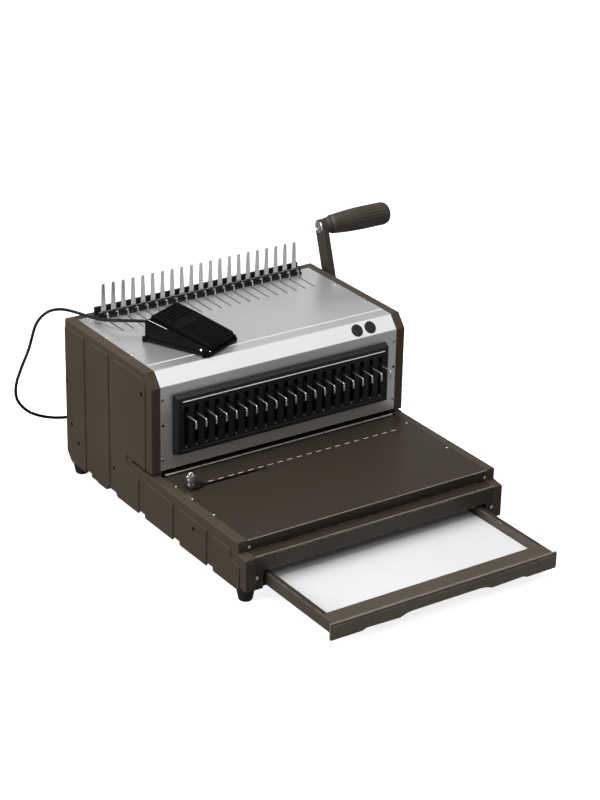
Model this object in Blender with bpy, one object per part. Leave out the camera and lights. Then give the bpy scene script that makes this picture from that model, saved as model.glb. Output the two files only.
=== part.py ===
"""Comb binding machine with an electric punch, a lever-worked comb opener, a drawer and a foot pedal.

Metres, +Z up, +Y towards the back. Everything hangs under one empty, whose height is that of the feet, so
that here z = 0 is the underside of the casing, x = 0 its middle and y = 0 the front of its head.
"""

import math

import bmesh
import bpy
from mathutils import Matrix, Vector

# Overall casing
HALF_WIDTH = 0.188
FRONT_Y = -0.2109
REAR_Y = 0.213
HEAD_TOP = 0.191
CHAMFER_Y = 0.0141
CHAMFER_DROP = 0.0171
CHAMFER_Z = HEAD_TOP - CHAMFER_DROP
TABLE_TOP = 0.0574
APRON_DROP = 0.0162
SHELF_Z = TABLE_TOP - APRON_DROP
SHELF_DEPTH = 0.0169
SHELF_RISE = 0.0028
APRON_Y = FRONT_Y + SHELF_DEPTH
SHEET = 0.0015
FRONT_THICK = 0.002
GAP = 0.0003
CUT_PAST = 0.002
FOOT_HEIGHT = 0.017

# Moulded side covers
COVER_DEPTH = 0.0142
COVER_WALL = 0.003
SLIT_RISE = 0.0011
SLIT_DEPTH = 0.047
SLIT_HEIGHT = 0.0035
INNER = HALF_WIDTH - COVER_DEPTH
HALF_SHEET = INNER - GAP

# Inner frame plates
FRAME_THICK = 0.002
FRAME_INSET = 0.004
FRAME_X = HALF_SHEET - SHEET - GAP - FRAME_THICK
FRAME_TOP = HEAD_TOP - SHEET - FRAME_INSET / 2

# Top plate, and where it meets the front and rear sheets
FASCIA_FLANGE = 0.0174
REAR_LIP = 0.0124

# Binding pitch: 21 rings at nine sixteenths of an inch
HOLES = 21
PITCH = 0.0142875
HALF_ROW = PITCH * (HOLES - 1) / 2

# Die, pins and the guide over the paper throat
PIN_WIDTH = 0.008
PIN_DEPTH = 0.003
PIN_Y = 0.0132
DIE_FIT = 0.0004
DIE_RISE = 0.0014
DIE_TOP = TABLE_TOP + DIE_RISE
DIE_THICK = 0.0058
DIE_FRONT = -0.0045
STOP_BEHIND_PIN = 0.0068
THROAT = 0.0048
HEAD_BOTTOM = DIE_TOP + THROAT + 0.0002
GUIDE_FRONT = 0.0025
GUIDE_THICK = 0.0054
PIN_TIP_RISE = 0.0029
STROKE = 0.018

# Punch bar, which hangs at the height of the selectors
SELECTOR_Z = HEAD_TOP - 0.056
BAR_BOTTOM = SELECTOR_Z - 0.015
BAR_TOP = SELECTOR_Z + 0.007
BAR_FRONT = PIN_Y + 0.0048
BAR_DEPTH = 0.028
BAR_BACK = BAR_FRONT + BAR_DEPTH
BAR_END_GAP = 0.0025
GROOVE_HALF = 0.0032
GROOVE_DEPTH = 0.006
KEEPER_BOTTOM = SELECTOR_Z - 0.0065
KEEPER_MARGIN = 0.002

# Pin selectors and their slotted cover
SELECTOR_THICK = 0.0022
SELECTOR_HALF = 0.0015
SELECTOR_FIT = 0.0004
SELECTOR_BEND_Y = -0.0334
SELECTOR_DROP = 0.0095
SELECTOR_TAB = 0.0026
SELECTOR_CORNER = 0.0008
TAB_MARGIN = 0.0141
TAB_HALF_WIDTH = HALF_ROW + TAB_MARGIN
TAB_SLOT_WIDTH = 0.004
TAB_SLOT_TOP = SELECTOR_Z + 0.0117
TAB_SLOT_BOTTOM = SELECTOR_Z - STROKE - 0.0212
TAB_BOTTOM = TAB_SLOT_BOTTOM - 0.0138
TAB_TOP = TAB_SLOT_TOP + 0.0143
TAB_DEPTH = 0.010
TAB_WALL = 0.0025
TAB_DRAFT = 0.0025

# Cam shaft and its gear motor
CAM_START = 0.012
CAM_CLEAR = 0.0014
SHAFT_Y = BAR_FRONT + 0.018
SHAFT_Z = BAR_TOP + CAM_CLEAR + CAM_START
SHAFT_RADIUS = 0.008
SHAFT_FIT = 0.0004
CAM_X = 0.100
CAM_THICK = 0.012
GEARBOX_HALF = 0.026
GEARBOX_FRONT = 0.016
GEARBOX_BACK = 0.038
GEARBOX_HEIGHT = 0.034
GEARBOX_CLEAR = 0.0018
MOTOR_RADIUS = 0.021
MOTOR_LENGTH = 0.064

# Return spring of the punch bar
SPRING_WIRE = 0.0011
SPRING_RADIUS = 0.0068
SPRING_TURNS = 7

# Comb opener: hooks in slots, a rail and a row of tines
HOOK_Y = REAR_Y - 0.0325
HOOK_DEPTH = 0.004
HOOK_WIDTH = 0.0014
HOOK_TOP = HEAD_TOP + 0.0095
HOOK_FIT = 0.0012
SLOT_WIDTH = 0.002
SLOT_BACK = HOOK_Y + HOOK_DEPTH / 2 + HOOK_FIT
SLOT_LENGTH = 0.0437
SLOT_FRONT = SLOT_BACK - SLOT_LENGTH
RAIL_HALF = HALF_ROW + 0.0096
RAIL_FRONT = HOOK_Y + 0.004
RAIL_DEPTH = 0.014
RAIL_BACK = RAIL_FRONT + RAIL_DEPTH
RAIL_TOP = HEAD_TOP + 0.0135
RAIL_WALL = 0.0035
RAIL_FLOOR = 0.003
TINE_TOP = HEAD_TOP + 0.0454
TINE_Y = RAIL_FRONT + 0.005
TINE_BASE = 0.0052
TINE_TIP = 0.0030
TINE_THICK = 0.002
TINE_FOOT = 0.0042

# Lever, its shaft and the pinions that drive the hook carriage
LEVER_Y = HOOK_Y - 0.0285
LEVER_Z = HEAD_TOP - 0.099
LEVER_SHAFT_RADIUS = 0.006
LEVER_LENGTH = 0.161
LEVER_LEAN = math.radians(18)
ARM_GAP = 0.0016
ARM_X = HALF_WIDTH + ARM_GAP
ARM_THICK = 0.0085
ARM_WIDTH = 0.0195
PINION_TEETH = 26
TOOTH_MODULE = 0.002
PINION_RADIUS = PINION_TEETH * TOOTH_MODULE / 2
PINION_X = FRAME_X - 0.0122
PINION_WIDTH = 0.004
TOOTH_TIP = 0.75 * TOOTH_MODULE
TOOTH_ROOT = 1.2 * TOOTH_MODULE
RACK_TEETH = 8
CARRIAGE_LOW = HEAD_TOP - 0.019
CARRIAGE_HIGH = HEAD_TOP - SHEET - 0.0055

# Turning grip on its bolt
BOLT_RADIUS = 0.0035
BOLT_HEAD_RADIUS = 0.0048
BOLT_HEAD = 0.0011
BOLT_LENGTH = 0.050
GRIP_GAP = 0.0008
GRIP_LENGTH = 0.0992
GRIP_RADIUS = 0.0155
GRIP_NECK = 0.0105
GRIP_NECK_LENGTH = 0.006
GRIP_WAIST = 0.0125
GRIP_TAPER_END = 0.060

# Drawer, pulled out
DRAWER_OPEN = 0.1376
DRAWER_FRONT_Y = FRONT_Y - DRAWER_OPEN
DRAWER_PANEL = 0.0037
DRAWER_HALF = HALF_WIDTH - 0.0305
DRAWER_LENGTH = 0.222
DRAWER_RIM = 0.0075
DRAWER_BAND = 0.0225
DRAWER_BOTTOM = 0.0022
DRAWER_TOP = 0.018
DRAWER_FLOOR = 0.0075
DRAWER_FLOOR_THICK = 0.0025
DRAWER_PANEL_HALF = DRAWER_HALF + 0.004
DRAWER_PANEL_BOTTOM = -0.0032
DRAWER_SCOOP = 0.0042
DRAWER_SIDE_GAP = 0.005
DRAWER_TOP_GAP = 0.0047

# Edge guide on the table, with its clamp knob
GUIDE_X = 0.0325 - HALF_WIDTH
GUIDE_Y = -0.047
GUIDE_TRAVEL = 0.085
GUIDE_SLOT = 0.004
GUIDE_FLOOR = 0.0035
GUIDE_NECK = 0.0026
KNOB_RADIUS = 0.006
KNOB_NECK = 0.0032
KNOB_HEIGHT = 0.0175
KNOB_INSET = 0.0045

# Back panel fittings
FITTING_Z = 0.037
INLET_X = HALF_WIDTH - 0.068
INLET_HALF_WIDTH = 0.0133
INLET_HALF_HEIGHT = 0.0098
INLET_DEPTH = 0.016
INLET_RIM = 0.0035
INLET_WALL = 0.002
SWITCH_X = INLET_X - 0.040
SWITCH_HALF_WIDTH = 0.006
SWITCH_HALF_HEIGHT = 0.0095
SWITCH_DEPTH = 0.0052
FITTING_FIT = 0.0003
FLANGE = 0.002
SOCKET_RADIUS = 0.005

# Foot pedal on the top plate
PEDAL_X = -0.0889
PEDAL_Y = 0.0695
PEDAL_TURN = math.radians(25)
PEDAL_HALF_WIDTH = 0.031
PEDAL_HALF_LENGTH = 0.047
PEDAL_WALL = 0.0035
PEDAL_FLOOR = 0.0035
TREADLE_FIT = 0.0007
TREADLE_SWEEP = 0.0027
TREADLE_REAR = 0.0335
TREADLE_FRONT = 0.0135
TREADLE_THICK = 0.005
TREADLE_SKIRT = 0.0085
TREADLE_BEND_V = 0.010
TREADLE_BEND_RISE = 0.0012
TREADLE_PIN_V = -0.036
TREADLE_PIN_Z = 0.0065

# Pedal cord
CORD_RADIUS = 0.002
CORD_ROUTE = (
    (-0.10895, 0.11250, 0.20080),
    (-0.11180, 0.11860, 0.20150),
    (-0.11750, 0.12600, 0.20280),
    (-0.12900, 0.13400, 0.20350),
    (-0.14200, 0.14350, 0.20320),
    (-0.15100, 0.15700, 0.20060),
    (-0.15700, 0.17400, 0.19720),
    (-0.16300, 0.19400, 0.19560),
    (-0.17100, 0.21300, 0.19620),
    (-0.18300, 0.22500, 0.19830),
    (-0.19760, 0.22900, 0.19800),
    (-0.21060, 0.22900, 0.19240),
    (-0.21970, 0.22800, 0.18250),
    (-0.22500, 0.22800, 0.16750),
    (-0.23050, 0.22800, 0.15150),
    (-0.24100, 0.22800, 0.13000),
    (-0.24900, 0.22800, 0.10900),
    (-0.24800, 0.22900, 0.08820),
    (-0.23450, 0.23000, 0.06930),
    (-0.21600, 0.23300, 0.05650),
    (-0.19400, 0.23700, 0.04650),
    (-0.17000, 0.24300, 0.03900),
    (-0.14900, 0.24850, 0.03600),
    (-0.13000, 0.25250, 0.03650),
    (-0.11650, 0.24850, 0.03980),
    (-0.11080, 0.23750, 0.04350),
    (-0.11000, 0.22550, 0.04500),
)
CORD_STEPS = 3
CORD_HEAD = 0.191  # the head's height that the route is laid over
SOCKET_X, CORD_END_Y, SOCKET_Z = CORD_ROUTE[-1]

# The frame's origin is under the middle of the overall box
GRIP_START = ARM_X + ARM_THICK + GRIP_GAP
GRIP_END = GRIP_START + GRIP_LENGTH
REAR_MOST = REAR_Y + FLANGE + GAP
MIDDLE_X = (GRIP_END - HALF_WIDTH) / 2
MIDDLE_Y = (REAR_MOST + DRAWER_FRONT_Y) / 2


def clear_scene():
    for old in list(bpy.data.objects):
        bpy.data.objects.remove(old, do_unlink=True)


def finish(name, color, roughness, metallic=0.0):
    """A plain Principled material."""
    made = bpy.data.materials.new(name)
    made.use_nodes = True
    shader = made.node_tree.nodes["Principled BSDF"]
    shader.inputs["Base Color"].default_value = (*color, 1.0)
    shader.inputs["Roughness"].default_value = roughness
    shader.inputs["Metallic"].default_value = metallic
    return made


def slab(low, high):
    """A box between two corners."""
    mesh = bmesh.new()
    size = [b - a for a, b in zip(low, high)]
    middle = [(a + b) / 2 for a, b in zip(low, high)]
    placed = Matrix.Translation(middle) @ Matrix.Diagonal((*size, 1.0))
    bmesh.ops.create_cube(mesh, size=1.0, matrix=placed)
    return mesh


def prism(outline, axis, start, end):
    """An outline extruded along an axis; its points are the two other coordinates in X, Y, Z order."""
    mesh = bmesh.new()
    corners = []
    for first, second in outline:
        place = [first, second]
        place.insert(axis, start)
        corners.append(mesh.verts.new(place))
    face = mesh.faces.new(corners)
    grown = bmesh.ops.extrude_face_region(mesh, geom=[face])["geom"]
    shift = Vector((0.0, 0.0, 0.0))
    shift[axis] = end - start
    moved = [item for item in grown if isinstance(item, bmesh.types.BMVert)]
    bmesh.ops.translate(mesh, verts=moved, vec=shift)
    bmesh.ops.recalc_face_normals(mesh, faces=mesh.faces[:])
    return mesh


def turned(profile, axis, centre, steps):
    """A closed profile of (distance from the axis, place along it) spun once round the axis."""
    mesh = bmesh.new()
    corners = [mesh.verts.new((radius, 0.0, along)) for radius, along in profile]
    edges = [mesh.edges.new((a, b)) for a, b in zip(corners, corners[1:])]
    bmesh.ops.spin(
        mesh,
        geom=corners + edges,
        cent=(0, 0, 0),
        axis=(0, 0, 1),
        angle=math.tau,
        steps=steps,
        use_merge=True,
    )
    bmesh.ops.remove_doubles(mesh, verts=mesh.verts[:], dist=1e-6)
    bmesh.ops.recalc_face_normals(mesh, faces=mesh.faces[:])
    turns = (Matrix.Rotation(math.pi / 2, 4, "Y"), Matrix.Rotation(-math.pi / 2, 4, "X"), Matrix.Identity(4))
    bmesh.ops.transform(mesh, matrix=Matrix.Translation(centre) @ turns[axis], verts=mesh.verts[:])
    return mesh


def rod(radius, axis, start, end, centre, steps=16):
    """A round bar along an axis; the centre gives the two other coordinates."""
    place = list(centre)
    place.insert(axis, 0.0)
    return turned([(0, start), (radius, start), (radius, end), (0, end)], axis, place, steps)


def joined(meshes):
    """Several bmeshes in one, for a cutter with many separate blades."""
    whole = bmesh.new()
    for mesh in meshes:
        part = bpy.data.meshes.new("part")
        mesh.to_mesh(part)
        mesh.free()
        whole.from_mesh(part)
        bpy.data.meshes.remove(part)
    return whole


def thing(name, mesh, look, parent, origin=(0, 0, 0), smooth=False):
    """An object whose origin is at the given place under its parent."""
    bmesh.ops.translate(mesh, verts=mesh.verts[:], vec=-Vector(origin))
    data = bpy.data.meshes.new(name)
    mesh.to_mesh(data)
    mesh.free()
    if smooth:
        data.shade_smooth()
        data.set_sharp_from_angle(angle=math.radians(35))
    made = bpy.data.objects.new(name, data)
    made.location = origin
    made.parent = parent
    bpy.context.collection.objects.link(made)
    if look:
        data.materials.append(look)
    return made


def helper(target, mesh, operation, parent):
    """A hidden shape that a Boolean adds to the target or takes from it."""
    made = thing(f"{target.name}_{operation.lower()}", mesh, None, parent)
    made.hide_render = True
    made.display_type = "WIRE"
    boolean = target.modifiers.new(operation.title(), "BOOLEAN")
    boolean.operation = operation
    boolean.object = made
    boolean.solver = "EXACT"


def cut(target, meshes, parent):
    helper(target, joined(meshes), "DIFFERENCE", parent)


def add(target, mesh, parent):
    helper(target, mesh, "UNION", parent)


def row_places():
    """The x of each ring of the comb."""
    return [index * PITCH - HALF_ROW for index in range(HOLES)]


def side_outline():
    """The casing's outline seen from the side, with the paper slit under the head."""
    slit_low = TABLE_TOP + SLIT_RISE
    return [
        (REAR_Y, 0.0),
        (REAR_Y, HEAD_TOP),
        (CHAMFER_Y, HEAD_TOP),
        (0.0, CHAMFER_Z),
        (0.0, slit_low + SLIT_HEIGHT),
        (SLIT_DEPTH, slit_low + SLIT_HEIGHT),
        (SLIT_DEPTH, slit_low),
        (0.0, slit_low),
        (-SLIT_RISE, TABLE_TOP),
        (APRON_Y, TABLE_TOP),
        (APRON_Y, SHELF_Z + SHELF_RISE),
        (FRONT_Y, SHELF_Z),
        (FRONT_Y, 0.0),
    ]


def side_cover(name, side, look, machine):
    inside, outside = side * INNER, side * HALF_WIDTH
    cover = thing(name, prism(side_outline(), 0, inside, outside), look, machine)
    deep = side * (HALF_WIDTH - COVER_WALL)
    mouth = side * (INNER - CUT_PAST)
    head_low = TABLE_TOP + SLIT_RISE + SLIT_HEIGHT + COVER_WALL
    head = [
        (REAR_Y - COVER_WALL, head_low),
        (REAR_Y - COVER_WALL, HEAD_TOP - COVER_WALL),
        (CHAMFER_Y + COVER_WALL / 2, HEAD_TOP - COVER_WALL),
        (COVER_WALL, CHAMFER_Z - COVER_WALL / 2),
        (COVER_WALL, head_low),
    ]
    lower = [
        (REAR_Y - COVER_WALL, COVER_WALL),
        (REAR_Y - COVER_WALL, TABLE_TOP - COVER_WALL),
        (APRON_Y + COVER_WALL, TABLE_TOP - COVER_WALL),
        (APRON_Y + COVER_WALL, SHELF_Z - COVER_WALL),
        (FRONT_Y + COVER_WALL, SHELF_Z - COVER_WALL),
        (FRONT_Y + COVER_WALL, COVER_WALL),
    ]
    cuts = [prism(head, 0, mouth, deep), prism(lower, 0, mouth, deep)]
    if side > 0:
        hole = LEVER_SHAFT_RADIUS + SHAFT_FIT * 2
        cuts.append(rod(hole, 0, deep - CUT_PAST, outside + CUT_PAST, (LEVER_Y, LEVER_Z), 24))
    cut(cover, cuts, machine)


def frame_plate(name, side, look, machine):
    low = SHEET + GAP
    back, front = REAR_Y - 2 * FRAME_INSET, FRONT_Y + FRONT_THICK + FRAME_INSET
    under_table, under_shelf = TABLE_TOP - SHEET - 0.002, SHELF_Z - SHEET - 0.0015
    outline = [
        (back, low),
        (back, FRAME_TOP),
        (CHAMFER_Y + FRAME_INSET, FRAME_TOP),
        (FRAME_INSET, CHAMFER_Z - FRAME_INSET),
        (FRAME_INSET, under_table),
        (APRON_Y + FRAME_INSET, under_table),
        (APRON_Y + FRAME_INSET, under_shelf),
        (front, under_shelf),
        (front, low),
    ]
    near, far = side * FRAME_X, side * (FRAME_X + FRAME_THICK)
    plate = thing(name, prism(outline, 0, near, far), look, machine)
    start, end = sorted((near - side * CUT_PAST, far + side * CUT_PAST))
    cut(
        plate,
        [
            rod(SHAFT_RADIUS + SHAFT_FIT, 0, start, end, (SHAFT_Y, SHAFT_Z)),
            rod(LEVER_SHAFT_RADIUS + SHAFT_FIT, 0, start, end, (LEVER_Y, LEVER_Z)),
        ],
        machine,
    )


def base_pan(look, machine):
    """A folded tray that closes the casing from below."""
    flange = 0.014
    outline = [
        (-HALF_SHEET, 0.0),
        (HALF_SHEET, 0.0),
        (HALF_SHEET, flange),
        (HALF_SHEET - SHEET, flange),
        (HALF_SHEET - SHEET, SHEET),
        (SHEET - HALF_SHEET, SHEET),
        (SHEET - HALF_SHEET, flange),
        (-HALF_SHEET, flange),
    ]
    front = FRONT_Y + FRONT_THICK + SHEET
    thing("base_pan", prism(outline, 1, front, REAR_Y - SHEET - GAP), look, machine)


def feet(look, machine):
    top, bottom, edge, band, inset = 0.011, 0.0085, 0.001, 0.003, 0.0112
    for depth_name, y in (("front", FRONT_Y + 0.0149), ("rear", REAR_Y - 0.020)):
        for side_name, side in (("left", -1), ("right", 1)):
            profile = [(0, -FOOT_HEIGHT), (bottom - edge, -FOOT_HEIGHT), (bottom, edge - FOOT_HEIGHT)]
            profile += [(top, -band), (top, -GAP), (0, -GAP)]
            centre = (side * (HALF_WIDTH - inset), y, 0)
            name = f"foot_{depth_name}_{side_name}"
            thing(name, turned(profile, 2, centre, 20), look, machine, smooth=True)


def front_fascia(look, machine):
    """The folded front sheet of the head: upright, chamfer and a short top flange."""
    joint_y = CHAMFER_Y + FASCIA_FLANGE
    slope = math.atan2(HEAD_TOP - CHAMFER_Z, CHAMFER_Y)
    inner_z = CHAMFER_Z - SHEET * math.tan((math.pi / 2 - slope) / 2)
    inner_y = CHAMFER_Y + SHEET * math.tan(slope / 2)
    outline = [
        (0.0, HEAD_BOTTOM),
        (0.0, CHAMFER_Z),
        (CHAMFER_Y, HEAD_TOP),
        (joint_y, HEAD_TOP),
        (joint_y, HEAD_TOP - SHEET),
        (inner_y, HEAD_TOP - SHEET),
        (SHEET, inner_z),
        (SHEET, HEAD_BOTTOM),
    ]
    fascia = thing("front_fascia", prism(outline, 0, -HALF_SHEET, HALF_SHEET), look, machine)
    half, margin = HALF_ROW + 0.0076, 0.005
    window = slab(
        (-half, -CUT_PAST, TAB_SLOT_BOTTOM - margin),
        (half, SHEET + CUT_PAST, TAB_SLOT_TOP + margin),
    )
    cut(fascia, [window], machine)


def top_plate(look, machine):
    front = CHAMFER_Y + FASCIA_FLANGE + GAP
    plate = thing(
        "top_plate",
        slab((-HALF_SHEET, front, HEAD_TOP - SHEET), (HALF_SHEET, REAR_Y - REAR_LIP - GAP, HEAD_TOP)),
        look,
        machine,
    )
    half = SLOT_WIDTH / 2
    low, high = HEAD_TOP - SHEET - CUT_PAST, HEAD_TOP + CUT_PAST
    slots = [slab((x - half, SLOT_FRONT, low), (x + half, SLOT_BACK, high)) for x in row_places()]
    cut(plate, slots, machine)


def rear_cover(look, machine):
    lip = REAR_Y - REAR_LIP
    outline = [
        (REAR_Y - SHEET, GAP),
        (REAR_Y, GAP),
        (REAR_Y, HEAD_TOP),
        (lip, HEAD_TOP),
        (lip, HEAD_TOP - SHEET),
        (REAR_Y - SHEET, HEAD_TOP - SHEET),
    ]
    cover = thing("rear_cover", prism(outline, 0, -HALF_SHEET, HALF_SHEET), look, machine)
    low, high = REAR_Y - SHEET - CUT_PAST, REAR_Y + CUT_PAST
    cuts = [rod(SOCKET_RADIUS + FITTING_FIT, 1, low, high, (SOCKET_X, SOCKET_Z))]
    for x, wide, tall in (
        (INLET_X, INLET_HALF_WIDTH + FITTING_FIT, INLET_HALF_HEIGHT + FITTING_FIT),
        (SWITCH_X, SWITCH_HALF_WIDTH + 0.0008, SWITCH_HALF_HEIGHT + 0.0013),
    ):
        cuts.append(slab((x - wide, low, FITTING_Z - tall), (x + wide, high, FITTING_Z + tall)))
    cut(cover, cuts, machine)


def power_inlet(look, machine):
    """The mains inlet: a flange outside the back panel and a hollow box inside it."""
    wide, tall = INLET_HALF_WIDTH, INLET_HALF_HEIGHT
    back, face = REAR_Y - INLET_DEPTH, REAR_Y + GAP
    inlet = thing(
        "power_inlet",
        slab((INLET_X - wide, back, FITTING_Z - tall), (INLET_X + wide, face + FLANGE, FITTING_Z + tall)),
        look,
        machine,
    )
    rim = INLET_RIM
    add(
        inlet,
        slab(
            (INLET_X - wide - rim, face, FITTING_Z - tall - rim),
            (INLET_X + wide + rim, face + FLANGE, FITTING_Z + tall + rim),
        ),
        machine,
    )
    wall = INLET_WALL
    cut(
        inlet,
        [
            slab(
                (INLET_X - wide + wall, back + wall, FITTING_Z - tall + wall),
                (INLET_X + wide - wall, face + FLANGE + CUT_PAST, FITTING_Z + tall - wall),
            )
        ],
        machine,
    )


def power_switch(look, machine):
    """A rocker, tilted to its off position."""
    y, z = REAR_Y - 0.004, FITTING_Z
    high, deep, wide = SWITCH_HALF_HEIGHT, SWITCH_DEPTH, SWITCH_HALF_WIDTH
    heel, dish = 0.006, 0.0012
    outline = [
        (y - deep, z - heel),
        (y + deep, z - high),
        (y + deep - dish, z),
        (y + deep, z + high),
        (y - deep, z + heel),
    ]
    mesh = prism(outline, 0, SWITCH_X - wide, SWITCH_X + wide)
    rocker = thing("power_switch", mesh, look, machine, (SWITCH_X, y, z))
    rocker.rotation_euler = (math.radians(-5), 0, 0)


def tab_cover(look, machine):
    """The slotted cover that the pin selectors reach through."""
    draft = TAB_DRAFT
    mesh = slab((-TAB_HALF_WIDTH, -TAB_DEPTH, TAB_BOTTOM), (TAB_HALF_WIDTH, -GAP, TAB_TOP))
    middle = (TAB_BOTTOM + TAB_TOP) / 2
    for corner in mesh.verts:
        if corner.co.y < -TAB_DEPTH / 2:
            corner.co.x -= math.copysign(draft, corner.co.x)
            corner.co.z -= math.copysign(draft, corner.co.z - middle)
    cover = thing("tab_cover", mesh, look, machine)
    inset = TAB_WALL + draft
    half = TAB_SLOT_WIDTH / 2
    front, back = -TAB_DEPTH - CUT_PAST, TAB_WALL - TAB_DEPTH + CUT_PAST
    blades = [slab((x - half, front, TAB_SLOT_BOTTOM), (x + half, back, TAB_SLOT_TOP)) for x in row_places()]
    pocket = slab(
        (inset - TAB_HALF_WIDTH, TAB_WALL - TAB_DEPTH, TAB_BOTTOM + inset),
        (TAB_HALF_WIDTH - inset, CUT_PAST, TAB_TOP - inset),
    )
    cut(cover, [pocket], machine)
    cut(cover, blades, machine)


def paper_table(look, machine):
    """The table sheet, folded down at its front."""
    back, low = DIE_FRONT - 0.001, SHELF_Z + SHELF_RISE
    outline = [
        (back, TABLE_TOP),
        (APRON_Y, TABLE_TOP),
        (APRON_Y, low),
        (APRON_Y + SHEET, low),
        (APRON_Y + SHEET, TABLE_TOP - SHEET),
        (back, TABLE_TOP - SHEET),
    ]
    table = thing("paper_table", prism(outline, 0, -HALF_SHEET, HALF_SHEET), look, machine)
    half, reach = GUIDE_SLOT / 2, GUIDE_NECK + 0.0019
    slot = slab(
        (GUIDE_X - reach, GUIDE_Y - half, TABLE_TOP - SHEET - CUT_PAST),
        (GUIDE_X + GUIDE_TRAVEL + reach, GUIDE_Y + half, TABLE_TOP + CUT_PAST),
    )
    cut(table, [slot], machine)


def front_cover(look, machine):
    """The lower front: a frame round the drawer's mouth, with a shelf behind its top edge."""
    legs, mouth = DRAWER_HALF + DRAWER_SIDE_GAP, DRAWER_TOP + DRAWER_TOP_GAP
    outline = [
        (-HALF_SHEET, 0.0),
        (-legs, 0.0),
        (-legs, mouth),
        (legs, mouth),
        (legs, 0.0),
        (HALF_SHEET, 0.0),
        (HALF_SHEET, SHELF_Z),
        (-HALF_SHEET, SHELF_Z),
    ]
    cover = thing("front_cover", prism(outline, 1, FRONT_Y, FRONT_Y + FRONT_THICK), look, machine)
    start, end, rise = FRONT_Y + FRONT_THICK / 2, APRON_Y - GAP, SHELF_RISE - 2 * GAP
    sink = 0.0001
    shelf = [
        (start, SHELF_Z - SHEET),
        (end, SHELF_Z - SHEET + rise),
        (end, SHELF_Z + rise),
        (start, SHELF_Z - sink),
    ]
    add(cover, prism(shelf, 0, sink - HALF_SHEET, HALF_SHEET - sink), machine)


def comb_rail(look, machine):
    outline = [
        (RAIL_FRONT, HEAD_TOP + GAP),
        (RAIL_BACK, HEAD_TOP + GAP),
        (RAIL_BACK, RAIL_TOP),
        (RAIL_BACK - RAIL_WALL, RAIL_TOP),
        (RAIL_BACK - RAIL_WALL, HEAD_TOP + RAIL_FLOOR),
        (RAIL_FRONT, HEAD_TOP + RAIL_FLOOR),
    ]
    thing("comb_rail", prism(outline, 0, -RAIL_HALF, RAIL_HALF), look, machine)


def comb_tines(look, machine):
    """One sheet-steel comb: a foot strip with a tapered tine for each ring."""
    low = HEAD_TOP + RAIL_FLOOR + GAP
    high = low + TINE_FOOT
    half, point = HALF_ROW + 0.006, 0.001
    outline = [(-half, low), (half, low), (half, high)]
    for x in reversed(row_places()):
        outline += [
            (x + TINE_BASE / 2, high),
            (x + TINE_TIP / 2, TINE_TOP - point),
            (x + TINE_TIP / 4, TINE_TOP),
            (x - TINE_TIP / 4, TINE_TOP),
            (x - TINE_TIP / 2, TINE_TOP - point),
            (x - TINE_BASE / 2, high),
        ]
    outline.append((-half, high))
    thing("comb_tines", prism(outline, 1, TINE_Y, TINE_Y + TINE_THICK), look, machine)


def row_cuts(fit, low, high):
    """Blades for the row of punch holes."""
    half, deep = PIN_WIDTH / 2 + fit, PIN_DEPTH / 2 + fit
    return [slab((x - half, PIN_Y - deep, low), (x + half, PIN_Y + deep, high)) for x in row_places()]


def die_plate(look, machine):
    """The die under the paper, with the back stop that the sheets are pushed against."""
    reach = FRAME_X - GAP
    low, stop_y, stop_top = DIE_TOP - DIE_THICK, PIN_Y + STOP_BEHIND_PIN, DIE_TOP + THROAT - GAP
    outline = [
        (DIE_FRONT, low),
        (BAR_BACK, low),
        (BAR_BACK, stop_top),
        (stop_y, stop_top),
        (stop_y, DIE_TOP),
        (DIE_FRONT, DIE_TOP),
    ]
    die = thing("die_plate", prism(outline, 0, -reach, reach), look, machine)
    cut(die, row_cuts(DIE_FIT, low - CUT_PAST, DIE_TOP + CUT_PAST), machine)


def pin_guide(look, machine):
    reach = FRAME_X - GAP
    low = DIE_TOP + THROAT
    high = low + GUIDE_THICK
    guide = thing("pin_guide", slab((-reach, GUIDE_FRONT, low), (reach, BAR_BACK, high)), look, machine)
    cut(guide, row_cuts(DIE_FIT, low - CUT_PAST, high + CUT_PAST), machine)


def gear_motor(look, machine):
    """Gearbox round the cam shaft, with the motor behind it."""
    half, low = GEARBOX_HALF, BAR_TOP + GEARBOX_CLEAR
    front, back = SHAFT_Y - GEARBOX_FRONT, SHAFT_Y + GEARBOX_BACK
    box = thing("gear_motor", slab((-half, front, low), (half, back, low + GEARBOX_HEIGHT)), look, machine)
    middle = (0.0, low + GEARBOX_HEIGHT / 2)
    add(box, rod(MOTOR_RADIUS, 1, back - CUT_PAST, back + MOTOR_LENGTH, middle, 24), machine)
    bore = rod(SHAFT_RADIUS + SHAFT_FIT, 0, -half - CUT_PAST, half + CUT_PAST, (SHAFT_Y, SHAFT_Z))
    cut(box, [bore], machine)


def return_spring(look, machine):
    """The coil spring that lifts the punch bar back."""
    low, high = DIE_TOP + THROAT + GUIDE_THICK + GAP, BAR_BOTTOM - GAP
    wire, coil, sides = SPRING_WIRE, SPRING_RADIUS, 14
    count = SPRING_TURNS * sides
    start, rise = low + wire, high - low - 2 * wire
    data = bpy.data.curves.new("return_spring", "CURVE")
    data.dimensions = "3D"
    line = data.splines.new("POLY")
    line.points.add(count)
    for index, point in enumerate(line.points):
        angle = math.tau * index / sides
        height = start + rise * index / count
        point.co = (coil * math.cos(angle), coil * math.sin(angle), height, 1.0)
    data.bevel_depth = wire
    data.bevel_resolution = 1
    data.use_fill_caps = True
    data.materials.append(look)
    spring = bpy.data.objects.new("return_spring", data)
    spring.location = (0.0, (BAR_FRONT + BAR_BACK) / 2, 0.0)
    spring.parent = machine
    bpy.context.collection.objects.link(spring)


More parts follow.
